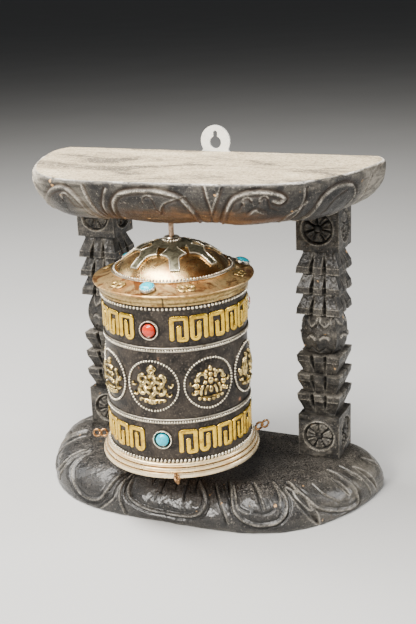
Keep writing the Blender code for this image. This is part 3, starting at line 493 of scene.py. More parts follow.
def stone(name, base, pale, dark):
    """A polished stone bead: clouded colour, pale veins and a clear gloss."""
    s = Surface(name, roughness=0.16)
    s.set("Coat Weight", 0.4)
    s.set("Coat Roughness", 0.06)
    s.set("Subsurface Weight", 0.05)
    s.set("Subsurface Radius", (0.002, 0.0012, 0.0008))
    cloud = s.noise(310.0, 5.0, 0.6, distortion=0.7)
    fleck = s.noise(1500.0, 3.0, 0.6)
    colour = s.mix(s.share(cloud, 0.32, 0.58), base, pale)
    colour = s.mix(s.share(cloud, 0.60, 0.74, 0.0, 0.55), colour, dark)
    colour = s.mix(s.share(fleck, 0.60, 0.72, 0.0, 0.3), colour, dark)
    s.set("Base Color", colour)
    s.bump(cloud, 0.05 * MM)
    return s.material


def blank_paper():
    """A tight roll of old blank paper, with its turns showing as fine rings on the ends."""
    s = Surface("blank_paper", roughness=0.9)
    rings = s.node("TexWave", "Fac", {"Scale": 400.0}, wave_type="RINGS", rings_direction="Z")
    fibre = s.noise(500.0, 5.0, 0.7)
    colour = s.mix(s.share(fibre, 0.3, 0.7), (0.62, 0.53, 0.38), (0.80, 0.73, 0.58))
    s.set("Base Color", s.mix(s.share(rings, 0.2, 0.8, 0.0, 0.3), colour, (0.45, 0.36, 0.24)))
    s.bump(fibre, 0.1 * MM)
    return s.material


# The fifth argument is the colour of the cuts: dirt with painted shade.
board_paint = carved_paint("board_paint", 1.0, 0.28, DUSTY_PAINT, (0.035, 0.022, 0.014), 0.40)
base_paint = carved_paint("base_paint", 0.60, 0.22, (0.085, 0.075, 0.063), (0.003, 0.0027, 0.0024), 0.30,
                          speckle=0.5, coat=0.45)
post_paint = carved_paint("post_paint", 0.80, 0.75, (0.080, 0.071, 0.058), (0.003, 0.0027, 0.0024), 0.44,
                          coat=0.12)
plain_paint = carved_paint("plain_paint", 0.0, 0.25, (0.07, 0.062, 0.052), (0.01, 0.009, 0.008), 0.50)
top_face_paint = cream_paint()
drum_ground = oxidised_metal()
dome_copper = rubbed_copper("dome_copper", 1.0, 0.20, 0.30)
lid_copper = rubbed_copper("lid_copper", 0.93, 0.32, 1.0)
# Each metal's hollow colour is the painted shade of its hollows and of the feet of its bars.
white_metal = metal("white_metal", (0.70, 0.64, 0.52), (0.30, 0.25, 0.19), 0.24, 0.45, 260.0)
bright_bead = metal("bright_bead", (0.95, 0.87, 0.70), (0.52, 0.43, 0.30), 0.20, 0.30, 300.0,
                    hollow=(0.03, 0.024, 0.018), metallic=0.85)
worn_wire = metal("worn_wire", (0.50, 0.45, 0.37), (0.20, 0.17, 0.13), 0.30, 0.5, 300.0)
overlay_silver = metal("overlay_silver", (0.28, 0.265, 0.18), (0.09, 0.08, 0.05), 0.40, 0.65, 240.0,
                       metallic=0.8)
relief_gold = metal("relief_gold", (0.95, 0.62, 0.06), (0.50, 0.28, 0.03), 0.19, 0.50, 240.0,
                    hollow=(0.02, 0.012, 0.006), metallic=0.85)
motif_metal = metal("motif_metal", (0.92, 0.71, 0.30), (0.15, 0.11, 0.055), 0.18, 0.60, 330.0,
                    hollow=(0.014, 0.012, 0.010))
brim_relief = metal("brim_relief", (0.88, 0.62, 0.22), (0.40, 0.27, 0.10), 0.30, 0.6, 330.0,
                    hollow=(0.16, 0.09, 0.045))
pale_brass = metal("pale_brass", (1.0, 0.82, 0.52), (0.72, 0.47, 0.22), 0.18, 0.30, 60.0,
                   hollow=(0.14, 0.06, 0.02), metallic=0.72)
wire_brass = metal("wire_brass", (0.46, 0.26, 0.12), (0.12, 0.06, 0.03), 0.22, 0.60, 400.0)
rod_copper = metal("rod_copper", (0.62, 0.44, 0.31), (0.30, 0.19, 0.12), 0.40, 0.55, 330.0)
zinc_plate = metal("zinc_plate", (0.90, 0.91, 0.88), (0.70, 0.72, 0.69), 0.42, 0.3, 150.0, metallic=0.6)
coral_stone = stone("coral_stone", (0.40, 0.010, 0.001), (0.62, 0.032, 0.003), (0.20, 0.004, 0.001))
turquoise_stone = stone("turquoise_stone", (0.0, 0.33, 0.49), (0.0, 0.56, 0.70), (0.0, 0.12, 0.20))
paper = blank_paper()


# Carving: a height field over a grid, in millimetres.

class Relief:
    """Heights with how far each point is a rubbed rim, or a cut painted dark with shade and dirt."""

    def __init__(self, across, along):
        self.across = across
        self.along = along
        self.height = np.zeros_like(across)
        self.rim = np.zeros_like(across)
        self.recess_shade = np.zeros_like(across)

    def distance(self, path):
        best = np.full(self.across.shape, 99.0)
        for (x0, y0), (x1, y1) in zip(path, path[1:]):
            dx = x1 - x0
            dy = y1 - y0
            share = ((self.across - x0) * dx + (self.along - y0) * dy) / (dx * dx + dy * dy + 1e-9)
            share = np.clip(share, 0.0, 1.0)
            gap = np.hypot(self.across - x0 - share * dx, self.along - y0 - share * dy)
            best = np.minimum(best, gap)
        return best

    def cut(self, path, width, depth, mark=1.0):
        shape = np.exp(-(self.distance(path) / width) ** 2)
        self.height -= depth * shape
        # The cut's hollow is marked to be painted dark: shade with some dirt.
        self.recess_shade = np.maximum(self.recess_shade, mark * shape)

    def ridge(self, path, width, rise, mark=1.0):
        shape = np.exp(-(self.distance(path) / width) ** 2)
        self.height += rise * shape
        self.rim = np.maximum(self.rim, mark * shape)

    def leaf(self, start, end, width, depth, mark=1.0):
        """A lens-shaped gouge with a sharp edge and two slanted facets."""
        axis = np.array(end) - np.array(start)
        length = np.hypot(*axis)
        axis = axis / length
        along = (self.across - start[0]) * axis[0] + (self.along - start[1]) * axis[1]
        aside = np.abs((self.across - start[0]) * -axis[1] + (self.along - start[1]) * axis[0])
        inside = np.clip(along / length, 0.0, 1.0)
        half = width * np.sin(math.pi * inside) ** 0.9 + 1e-6
        shape = np.clip(1.0 - aside / half, 0.0, 1.0)
        self.height -= depth * shape
        edge = np.exp(-((aside - half - 0.5) / 0.6) ** 2) * ((along > 0.0) & (along < length))
        self.rim = np.maximum(self.rim, 0.9 * edge)
        # The gouge's hollow is marked to be painted dark: shade with some dirt.
        self.recess_shade = np.maximum(self.recess_shade, mark * smoothstep(0.1, 0.8, shape))


CURVE_STEPS = 8


def smooth_line(points):
    """A curve that runs through its control points (Catmull-Rom)."""
    points = np.array(points, float)
    padded = np.concatenate([[2.0 * points[0] - points[1]], points, [2.0 * points[-1] - points[-2]]])
    line = []
    for a, b, c, d in zip(padded, padded[1:], padded[2:], padded[3:]):
        for t in np.linspace(0.0, 1.0, CURVE_STEPS, endpoint=False):
            line.append(0.5 * (2.0 * b + (c - a) * t + (2.0 * a - 5.0 * b + 4.0 * c - d) * t ** 2
                               + (3.0 * b - a - 3.0 * c + d) * t ** 3))
    return line + [points[-1]]


def offset_line(line, distance):
    """The line moved sideways, to its left for a positive distance."""
    line = np.array(line, float)
    run = np.gradient(line, axis=0)
    run = run / (np.hypot(*run.T)[:, None] + 1e-9)
    return line + distance * np.stack([-run[:, 1], run[:, 0]], axis=1)


def carve_petal(relief, points, swell=1.3, light=1.0, inner=True):
    """A lotus petal: a cut, a light raised rim inside it, an inner cut and a swelling field."""
    line = smooth_line(points)
    rim = offset_line(line, 1.8)
    relief.cut(line, 1.0, 1.2)
    relief.ridge(rim, 0.80, 0.75, light)
    if inner:
        relief.cut(offset_line(line, 4.2)[5:-5], 0.7, 0.7, 0.7)
    low = rim.min(axis=0)
    high = rim.max(axis=0)
    middle = (low + high) / 2.0
    reach = np.abs((relief.across - middle[0]) / (high[0] - low[0]) * 2.1) ** 2.4
    reach = reach + np.abs((relief.along - high[1]) / (high[1] - low[1]) * 1.15) ** 2.4
    relief.height += swell * np.clip(1.0 - reach, 0.0, 1.0)


def carve_line(relief, points, width=0.75, depth=0.9, light=0.0, side=1.0):
    """A cut along a curve, with a light raised edge on one side when light is above zero."""
    line = smooth_line(points)
    relief.cut(line, width, depth)
    if light:
        relief.ridge(offset_line(line, side * (width + 0.5)), 0.6, 0.45, light)


def carve_curl(relief, centre, along, size, side=1.0):
    """A small hooked curl inside a petal, with a tail."""
    hook = [(x, 2.0 * along - y) for x, y in arc((centre, along), size, 20.0, 200.0, 10)]
    relief.cut(hook, 0.65, 0.9)
    relief.ridge([(x, y - 1.2) for x, y in hook], 0.55, 0.5, 0.8)
    tail = [(centre + side * size, along), (centre + side * (size + 1.5), along + size * 1.6),
            (centre + side * (size + 6.0), along + size * 2.4)]
    relief.cut(tail, 0.6, 0.7)


def carve_hidden_petals(relief, centres, half, near, far):
    """The same plain petal, repeated along a side that faces away from the front."""
    plan = ((-1.0, far), (-0.9, near + 7.0), (-0.5, near + 1.0), (0.0, near), (0.5, near + 1.0),
            (0.9, near + 7.0), (1.0, far))
    for centre in centres:
        arch = [(centre + share * half, y) for share, y in plan]
        carve_petal(relief, arch, light=0.7)
        carve_curl(relief, centre, near + 12.0, 2.8)
        carve_line(relief, [(centre + half + 3.0, near), (centre + half + 4.5, far)], light=0.6)


def carve_top_edge(relief):
    """The top board's edge from its left end: four arched petals, darts, curls and a plain end."""
    carve_petal(relief, [(-96, 36), (-88, 24), (-73, 11), (-65, 6.3), (-57, 4.6), (-49, 6.7), (-43, 14),
                         (-41, 25), (-40, 40)], light=0.5)
    carve_petal(relief, [(-26, 38), (-23.5, 18), (-19, 9.5), (-12, 5.8), (0, 4.5), (13, 5.2), (25, 8.8),
                         (32, 17), (35, 26), (36, 40)])
    carve_petal(relief, [(49, 40), (51, 22), (55, 10.5), (62, 5.8), (73, 4.2), (85, 6.3), (90, 10.5),
                         (86, 15), (81, 13.5)], swell=1.0)
    carve_petal(relief, [(103, 40), (108, 24), (112, 12.5), (121, 6.8), (133, 5.6), (142, 8.5), (146, 16),
                         (144, 26), (138, 38)], light=0.8, inner=False)
    carve_line(relief, [(-39, 4), (-36.5, 13), (-35, 22), (-33, 36)], light=0.9)
    carve_line(relief, [(-25, 5), (-28, 13), (-30, 20), (-31, 36)], light=0.9, side=-1.0)
    carve_line(relief, [(39, 2.5), (41, 11), (43, 21), (43.5, 38)], light=0.9, side=-1.0)
    carve_line(relief, [(51, 3.5), (47, 14), (44.5, 25), (44, 38)], light=0.9)
    carve_line(relief, [(102, 5.5), (101.5, 12), (100, 20), (97, 32)], light=0.8)
    carve_line(relief, [(102, 13), (97, 18), (92, 24), (90, 36)], light=0.7, side=-1.0)
    carve_line(relief, [(187, 0), (172, 3.5), (160, 9.5), (157, 21), (152, 36)], 0.9, 0.8, 1.0)
    carve_line(relief, [(28, 10), (20, 12.5), (13, 16), (11, 22)], light=0.5)
    carve_curl(relief, -55.0, 14.0, 3.0)
    carve_curl(relief, 3.0, 13.5, 3.4)
    carve_curl(relief, 66.0, 13.0, 2.8, -1.0)
    carve_curl(relief, 76.0, 12.0, 2.6)
    carve_line(relief, [(67, 20), (71, 16.5), (77, 19)], light=0.6)
    carve_line(relief, [(118, 26), (124, 16), (134, 11)], 0.7, 0.6)
    carve_hidden_petals(relief, (-118.0, -160.0), 15.0, 6.0, 38.0)


def carve_base_edge(relief):
    """The base board's edge from its left end: petals, darts, notches and leaf-shaped cuts."""
    carve_petal(relief, [(-96, 36), (-93, 24), (-87, 17), (-78, 11), (-69, 6.5), (-59, 5), (-49, 8),
                         (-45, 15), (-43.5, 24), (-41, 38)], light=0.8)
    carve_petal(relief, [(-36, 38), (-33, 22), (-29, 14.5), (-22, 10), (-11, 7.3), (2, 6.6), (14, 6.6),
                         (25, 9), (30.5, 15), (31, 25), (23, 38)], light=0.6)
    carve_petal(relief, [(46, 40), (47, 30), (48, 17), (54, 9.5), (65, 5.6), (78, 6.8), (85.5, 12), (89, 19),
                         (89.5, 26), (86, 40)], light=0.8)
    carve_petal(relief, [(95, 38), (97, 29), (101, 21), (108, 12), (122, 5.8), (136, 2.8), (144, 4.5),
                         (146, 12), (144, 24), (138, 38)], light=1.0)
    carve_line(relief, [(-38, 34), (-40, 22), (-40, 13), (-50, 3.5)], 0.9, 1.1, 0.8)
    carve_line(relief, [(-37, 30), (-34.5, 17), (-28, 3)], 0.8, 0.9, 0.6, -1.0)
    carve_line(relief, [(35, 35), (38, 26), (42, 15), (45, 7)], 0.8, 0.9, 0.6)
    carve_line(relief, [(42, 36), (45, 28), (49, 19)], 0.7, 0.7)
    for place, reach in ((-14.0, 27.0), (-5.0, 22.0), (5.0, 25.0), (13.0, 20.0), (20.0, 27.0)):
        relief.cut([(place, 40.0), (place + 0.6, reach)], 0.7, 1.0)
    carve_line(relief, [(52, 36), (53, 26), (54, 19), (60, 16)], 0.7, 0.8, 0.9, -1.0)
    carve_line(relief, [(66.5, 38), (68, 30), (69.5, 18)], 1.0, 1.2, 0.7)
    carve_line(relief, [(65, 16), (69, 15), (73, 15.5), (77, 17.5)], 0.8, 1.1)
    carve_line(relief, [(82, 36), (83, 27), (81, 20)], 0.7, 0.8, 0.7)
    relief.leaf((91.0, 34.0), (108.0, 1.5), 4.2, 2.8, 0.5)
    relief.leaf((96.0, 30.0), (104.0, 13.0), 1.6, 0.9, 0.3)
    relief.leaf((130.0, 30.0), (137.0, 13.5), 1.5, 1.6, 0.9)
    carve_line(relief, [(131, 12), (135, 10), (139, 11.5)], 0.7, 0.9)
    carve_line(relief, [(112, 30), (116, 20), (124, 13)], 0.6, 0.6, 0.5)
    relief.leaf((159.0, 30.0), (168.0, 5.5), 2.3, 2.6)
    relief.leaf((177.0, 30.0), (184.0, 16.0), 2.0, 2.2)
    relief.leaf((150.0, 31.0), (155.0, 18.0), 1.2, 1.1, 0.8)
    carve_line(relief, [(150, 36), (154, 22), (158, 6)], 0.7, 0.5, 0.5)
    carve_hidden_petals(relief, (-118.0, -160.0), 15.0, 7.0, 38.0)


# Boards.

BACK_CORNER = 16.0 * MM
EDGE_INSET = 26.0 * MM
EDGE_BAND = 5.0 * MM
EDGE_ROUNDING = 2.2 * MM
EDGE_COLUMNS = 930
EDGE_ROW_SPACING = 0.45 * MM

Plan = namedtuple("Plan", "half_width depth exponent_side exponent_front skew shear corner_narrowing")
BASE_PLAN = Plan(0.1250, 0.1117, 3.6, 1.55, 0.011, 0.004, 0.0070)
TOP_PLAN = Plan(0.1227, 0.1152, 4.7, 1.25, 0.08, 0.083, 0.0050)


def board_outline(plan):
    """A function from an inset to the board's outline, with its points spread evenly."""
    corner = np.linspace(0.0, 1.0, 200, endpoint=False)
    turns = np.linspace(0.0, math.pi, 6001)

    def outline(inset):
        width = plan.half_width - inset
        reach = plan.depth - inset - BACK_CORNER
        corner_x = width - plan.corner_narrowing * (1.0 - corner) ** 2
        corner_y = -BACK_CORNER * corner
        cosine = np.cos(turns)
        front_x = width * np.sign(cosine) * np.abs(cosine) ** (2.0 / plan.exponent_side)
        sine = np.clip(np.sin(turns), 0.0, 1.0)
        front_y = -BACK_CORNER - reach * sine ** (2.0 / plan.exponent_front)
        x = np.concatenate([corner_x, front_x, -corner_x[::-1]])[::-1]
        y = np.concatenate([corner_y, front_y, corner_y[::-1]])[::-1]
        skewed = y * (1.0 - plan.skew * x / plan.half_width)
        return x - plan.shear * y, BACK_Y + skewed

    x, y = outline(0.0)
    travel = np.concatenate([[0.0], np.cumsum(np.hypot(np.diff(x), np.diff(y)))])
    places = np.linspace(0.0, travel[-1], EDGE_COLUMNS)
    picks = np.interp(places, travel, np.arange(len(x)))
    in_front = y < BACK_Y - (plan.depth - EDGE_INSET)
    centre = np.interp(0.0, x[in_front], travel[in_front])

    def even_outline(inset):
        x, y = outline(inset)
        index = np.arange(len(x))
        return np.interp(picks, index, x), np.interp(picks, index, y)

    return even_outline, (places - centre) / MM


def board_profile(wide_z, small_z):
    """Insets and heights at an even spacing from a board's wide face to its small one."""
    direction = math.copysign(1.0, wide_z - small_z)
    band = wide_z - direction * EDGE_BAND
    path = []
    for turn in np.linspace(0.0, math.pi / 2.0, 9):
        path.append((EDGE_ROUNDING * (1.0 - math.sin(turn)),
                     wide_z - direction * EDGE_ROUNDING * (1.0 - math.cos(turn))))
    for turn in np.linspace(math.pi / 2.0, 0.0, 60):
        path.append((EDGE_INSET * (1.0 - math.sin(turn)), band + (small_z - band) * math.cos(turn)))
    return resample(path, EDGE_ROW_SPACING)


def surface_normals(points):
    """Unit normals of a grid of points, from its differences."""
    down = np.gradient(points, axis=0)
    aside = np.gradient(points, axis=1)
    normal = np.cross(down, aside)
    return normal / (np.linalg.norm(normal, axis=2, keepdims=True) + 1e-12)


def add_board(name, node, plan, wide_z, small_z, carve, wear_masks, surfaces, seed):
    outline, along_front = board_outline(plan)
    profile = board_profile(wide_z, small_z)
    rows = len(profile)
    points = np.zeros((rows, EDGE_COLUMNS, 3))
    for row, (inset, height) in enumerate(profile):
        x, y = outline(inset)
        points[row, :, 0] = x
        points[row, :, 1] = y
        points[row, :, 2] = height
    across, along = np.meshgrid(along_front, np.arange(rows) * EDGE_ROW_SPACING / MM)
    relief = Relief(across, along)
    carve(relief)
    relief.height += 0.35 * value_noise(across, along, 9.0, seed)
    relief.height += 0.16 * value_noise(across, along, 2.6, seed + 1)
    relief.height += 0.07 * value_noise(across, along, 1.1, seed + 2)
    ends = smoothstep(0.0, 4.0, across - along_front[0]) * smoothstep(0.0, 4.0, along_front[-1] - across)
    edge = smoothstep(0.0, 1.8, along)
    relief.height *= ends * edge
    normals = surface_normals(points)
    outward = points[rows // 2, EDGE_COLUMNS // 2, 1] - AXIS_Y
    if normals[rows // 2, EDGE_COLUMNS // 2, 1] * outward < 0.0:
        normals = -normals
    points += normals * (relief.height[..., None] * MM)
    points[0, :, 2] = wide_z
    points[-1, :, 2] = small_z
    layers = {"rim": relief.rim, "recess_shade": relief.recess_shade}
    layers.update(wear_masks(across, along, points[..., 0]))
    faces = grid_faces(rows, EDGE_COLUMNS)
    kinds = [0] * len(faces)
    faces.append(tuple(range(EDGE_COLUMNS)))
    faces.append(tuple(range((rows - 1) * EDGE_COLUMNS, rows * EDGE_COLUMNS)))
    back = [row * EDGE_COLUMNS for row in range(rows)]
    faces.append(tuple(back + [index + EDGE_COLUMNS - 1 for index in reversed(back)]))
    kinds += [1, 2, 3]
    piece = add_piece(name, points.reshape(-1, 3), faces, surfaces, "stand", "carved_wood",
                      layers, crease=60.0, face_surfaces=kinds)
    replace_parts(piece, node)


def top_wear(across, along, _x):
    """A rubbed white rim, a pale left end and bare wood along the lower front."""
    rough = value_noise(across, along, 5.0, 31) + 0.6 * value_noise(across, along, 1.7, 32)
    fray = value_noise(across, along, 14.0, 33)
    white = smoothstep(1.9 + 0.8 * fray, 0.5 + 0.8 * fray, along + 0.9 * rough)
    white = white * np.clip(0.55 + 0.55 * rough + 0.25 * fray, 0.0, 1.0)
    bare = smoothstep(16.0, 22.0, along + 1.6 * rough - 0.0011 * (across - 22.0) ** 2)
    bare = bare * smoothstep(-48.0, -26.0, across) * smoothstep(104.0, 78.0, across)
    pale = smoothstep(-60.0, -96.0, across) * 0.72
    pale = pale + smoothstep(-58.0, -46.0, across) * smoothstep(-34.0, -42.0, across) * 0.25
    pale = np.maximum(pale, smoothstep(11.0, 2.0, along) * (0.06 + 0.20 * rough))
    pale = np.maximum(pale, smoothstep(142.0, 162.0, across) * 0.42)
    return {"pale": np.clip(pale, 0.0, 1.0), "bare": bare, "white": np.clip(white, 0.0, 1.0)}


def base_wear(across, along, x):
    """Worn pale wood on the right end and along the lower edge of the base."""
    rough = value_noise(across, along, 6.0, 41)
    pale = smoothstep(0.078, 0.122, x) * 0.16
    pale = pale + smoothstep(-0.095, -0.123, x) * 0.08
    pale = pale + smoothstep(4.0, 1.0, along + rough) * 0.10
    nothing = np.zeros_like(pale)
    return {"pale": pale, "bare": nothing, "white": nothing}


add_board("carved_base_board", "base_board", BASE_PLAN, BASE_LOW, BASE_TOP, carve_base_edge, base_wear,
          [base_paint, plain_paint, base_paint, plain_paint], 11)
add_board("carved_top_board", "top_board", TOP_PLAN, TOP_HIGH, TOP_LOW, carve_top_edge, top_wear,
          [board_paint, top_face_paint, plain_paint, plain_paint], 21)


# Posts.

POST_COLUMNS = 44
POST_ROW_SPACING = 0.42 * MM
BLOCK_HALF = 14.7
BLOCK_HEIGHT = 30.8
NECK_HALF = 11.2
TIER_WIDE = 15.2
TIER_NARROW = 11.0
TIER_BAND = 4.6
TIER_PITCH = 14.3
TIERS = 3
BULB_HALF = 14.2
BULB_WIDE = 15.0
BULB_END = 10.2
POST_GAP = 0.3


def post_rows(half_height):
    """Rows of (rise, half width, roundness, kind, place in the kind) from the middle up."""
    rows = []

    def run(low, high, half, roundness, kind):
        count = max(2, int((high - low) / (POST_ROW_SPACING / MM)))
        for index in range(count + 1):
            share = index / count
            rows.append((low + (high - low) * share, half(share), roundness, kind, share))

    run(0.0, BULB_HALF, lambda f: BULB_END + (BULB_WIDE - BULB_END) * math.cos(f * math.pi / 2.0) ** 0.8,
        0.55, "bulb")
    for tier in range(TIERS):
        start = BULB_HALF + tier * TIER_PITCH + 0.5
        run(start, start + TIER_BAND, lambda f: TIER_WIDE - 0.5 * f, 0.0, "band")
        run(start + TIER_BAND, start + TIER_PITCH - 0.5,
            lambda f: TIER_WIDE - 0.5 - (TIER_WIDE - 0.5 - TIER_NARROW) * f ** 0.9, 0.0, "slope")
    block = half_height - BLOCK_HEIGHT
    run(BULB_HALF + TIERS * TIER_PITCH, block - 0.2, lambda f: NECK_HALF, 0.0, "neck")
    run(block, half_height - POST_GAP, lambda f: BLOCK_HALF, 0.0, "block")
    return rows


def rosette(across, along):
    """Height and rim of a round flower: a ring cut, lobed petals and a button."""
    reach = np.hypot(across, along)
    turn = np.arctan2(along, across)
    petals = np.abs(np.sin(3.5 * turn + 0.6))
    field = smoothstep(10.8, 9.8, reach)
    lobes = smoothstep(0.10, 0.70, petals) * smoothstep(9.8, 8.2, reach) * smoothstep(2.2, 3.6, reach)
    button = smoothstep(2.4, 1.6, reach)
    height = -2.2 * field + 1.9 * np.maximum(lobes, button)
    ring = np.exp(-((reach - 11.0) / 0.6) ** 2)
    height = height + 0.45 * ring + 0.6 * lobes * np.sin(7.0 * turn + 2.2)
    rim = np.maximum(0.8 * ring, 0.9 * np.exp(-((lobes - 0.7) / 0.2) ** 2) * field)
    # The sunk field round the lobes and button is marked for painted shade.
    recess_shade = field * (1.0 - 0.85 * np.maximum(lobes, button))
    return height, rim, recess_shade


def bulb_relief(across, rise):
    """A face folded along its middle, with hanging leaf tips and two hooded arcs."""
    relief = Relief(across, np.full_like(across, rise))
    relief.height += 2.0 * (1.0 - np.clip(np.abs(across) / 9.0, 0.0, 1.0)) - 0.7
    for side in (-1.0, 1.0):
        brow = arc((side * 4.7, -2.4), 3.1, 25.0, 155.0, 10)
        relief.cut(brow, 0.75, 1.5)
        relief.ridge([(x, y - 1.3) for x, y in brow], 0.8, 1.1, 1.3)
        tip = mirrored(side, ((9.4, 12.0), (8.0, 7.6), (4.8, 4.8), (1.6, 7.8), (0.5, 12.0)))
        relief.cut(tip, 0.7, 1.1)
        relief.ridge([(x, y + 1.2) for x, y in tip], 0.7, 0.7, 1.0)
        foot = mirrored(side, ((9.0, -12.0), (5.0, -8.6), (1.0, -12.0)))
        relief.cut(foot, 0.7, 1.0)
    return relief.height, relief.rim, relief.recess_shade


def tier_relief(across, half, kind, share):
    """V cuts between the three teeth on each face, wider towards the tooth's foot."""
    place = 0.0 if kind == "band" else share
    closing = max(0.0, 1.0 - place / 0.8)
    width = 0.25 + 1.15 * closing ** 0.8
    depth = 0.40 + 2.7 * closing
    lean = 0.35 * (1.0 - place)
    nearest = np.minimum(np.abs(across + lean - half / 3.0), np.abs(across - lean + half / 3.0))
    cut = np.clip(1.0 - nearest / width, 0.0, 1.0) ** 0.8
    rim = np.exp(-((nearest - width - 0.3) / 0.4) ** 2) * 0.35
    if kind == "band":
        rim = np.maximum(rim, 0.6 * smoothstep(0.25, 0.0, share))
        rim = np.maximum(rim, 0.8 * smoothstep(0.85, 1.0, share))
    # The V cuts are marked for painted shade.
    return -depth * cut, rim, smoothstep(0.1, 0.5, cut)


def add_post(name, node, x, seed):
    low = BASE_TOP
    high = TOP_LOW
    half_height = (high - low) / 2.0 / MM
    middle = (high + low) / 2.0
    upper = post_rows(half_height)
    rows = [(-rise, *rest, -1.0) for rise, *rest in reversed(upper)]
    rows += [(rise, *rest, 1.0) for rise, *rest in upper]
    shares = np.linspace(-1.0, 1.0, POST_COLUMNS, endpoint=False)
    centre_y = (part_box(node)[0].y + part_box(node)[1].y) / 2.0
    points = []
    layers = {"rim": [], "recess_shade": [], "pale": [], "bare": [], "white": []}
    for rise, half, roundness, kind, share, side_of_middle in rows:
        across = shares * half
        if kind == "block":
            block_middle = side_of_middle * (half_height - BLOCK_HEIGHT / 2.0 - POST_GAP / 2.0)
            height, rim, recess_shade = rosette(across, np.full_like(across, rise - block_middle))
            rim = np.maximum(rim, 0.6 * smoothstep(half - 0.8, half, np.abs(across)))
        elif kind == "bulb":
            height, rim, recess_shade = bulb_relief(across, rise)
        elif kind in ("band", "slope"):
            height, rim, recess_shade = tier_relief(across, half, kind, share)
        else:
            # The neck, set in under the block, is marked all over with 0.6 of painted shade.
            height, rim, recess_shade = np.zeros_like(across), np.zeros_like(across), np.full_like(across, 0.6)
        for face in range(4):
            along = np.full_like(across, rise + 200.0)
            rough = value_noise(across + 40.0 * face, along, 4.0, seed)
            rough = rough + 0.5 * value_noise(across + 40.0 * face, along, 1.5, seed + 1)
            turn = math.pi / 2.0 * face
            cosine, sine = math.cos(turn), math.sin(turn)
            edge = 1.0 - smoothstep(0.86, 1.0, np.abs(shares))
            out = half + (height + 0.34 * rough) * edge
            span = np.hypot(1.0, shares)
            shrink = 1.0 + roundness * (1.0 / span - 1.0)
            local_x = out * shrink
            local_y = across * shrink
            for px, py in zip(local_x, local_y):
                points.append((x + (px * cosine - py * sine) * MM,
                               centre_y + (px * sine + py * cosine) * MM, middle + rise * MM))
            layers["rim"] += list(rim)
            layers["recess_shade"] += list(recess_shade)
            layers["pale"] += list(np.clip(0.12 * rough, 0.0, 1.0))
            layers["bare"] += [0.0] * len(across)
            layers["white"] += [0.0] * len(across)
    faces = tube_faces(len(rows), 4 * POST_COLUMNS)
    piece = add_piece(name, points, faces, post_paint, "stand", "carved_wood", layers, crease=38.0)
    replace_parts(piece, node)


LEFT_POST_X = (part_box("left_post")[0].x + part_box("left_post")[1].x) / 2.0
add_post("carved_left_post", "left_post", LEFT_POST_X, 51)
add_post("carved_right_post", "right_post", -LEFT_POST_X, 61)


# Drum: turned pieces.

def shell_radius(height):
    share = (height - SHELL_LOW) / (SHELL_HIGH - SHELL_LOW)
    return SHELL_LOW_RADIUS + share * (SHELL_HIGH_RADIUS - SHELL_LOW_RADIUS)


def add_shell():
    wall = 0.8 * MM
    profile = []
    for index in range(60):
        height = SHELL_HIGH + (SHELL_LOW - SHELL_HIGH) * index / 59
        profile.append((shell_radius(height), height))
    profile.append((SHELL_LOW_RADIUS - wall, SHELL_LOW))
    profile.append((SHELL_HIGH_RADIUS - wall, SHELL_HIGH))
    piece = lathe("drum_skin", profile, drum_ground, "drum", "dark_metal", 240)
    mesh = piece.data
    for vertex in mesh.vertices:
        turn = math.atan2(vertex.co.x, AXIS_Y - vertex.co.y)
        dent = value_noise(np.array([turn * 47.0 + 150.0]), np.array([vertex.co.z / MM]), 11.0, 71)[0]
        reach = 1.0 + 0.0012 * dent
        vertex.co.x *= reach
        vertex.co.y = AXIS_Y + (vertex.co.y - AXIS_Y) * reach
    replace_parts(piece, "drum_shell")


FLANGE_BORE = 48.0 * MM
FLANGE_ROUND = 0.75 * MM
FLANGE_GROOVE = 0.8 * MM


def add_flange():
    """Three rounded steps with a fine groove between them, painted dark with shade, and a lip inside."""
    low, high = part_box("bottom_flange")
    rim = high.x
    zones = ((0.28, rim - 3.1 * MM), (0.32, rim - 1.5 * MM), (0.40, rim - 0.1 * MM))
    profile = [(FLANGE_BORE, high.z)]
    top = high.z
    tall = high.z - low.z
    for part, radius in zones:
        bottom = top - part * tall
        for turn in np.linspace(58.0, -68.0, 12):
            share = math.sin(math.radians(turn))
            height = (top + bottom) / 2.0 + share * (top - bottom) / 2.0
            bulge = FLANGE_ROUND * math.cos(math.radians(turn))
            profile.append((radius - FLANGE_ROUND + bulge, height, 0.0))
        if radius < rim - 1.0 * MM:
            # Painted shade fills each groove.
            profile.append((radius - FLANGE_GROOVE, bottom + 0.12 * MM, 1.0))
            profile.append((radius - FLANGE_GROOVE, bottom - 0.30 * MM, 1.0))
        top = bottom
    # Painted shade under the flange and in its bore.
    profile.append((rim - 1.2 * MM, low.z, 0.3))
    profile.append((FLANGE_BORE - 0.5 * MM, low.z, 0.5))
    profile.append((FLANGE_BORE - 0.5 * MM, low.z + 1.0 * MM, 0.5))
    profile.append((FLANGE_BORE, low.z + 1.0 * MM, 0.5))
    piece = lathe("turned_flange", profile, pale_brass, "drum", "brass", 240, crease=50.0)
    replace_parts(piece, "bottom_flange")


LID_SKIRT = 1.3 * MM
LID_BORE = 34.0 * MM
LID_SEAT = 38.0 * MM
LID_FALL = 4.4 * MM
LID_EDGE = 1.5 * MM


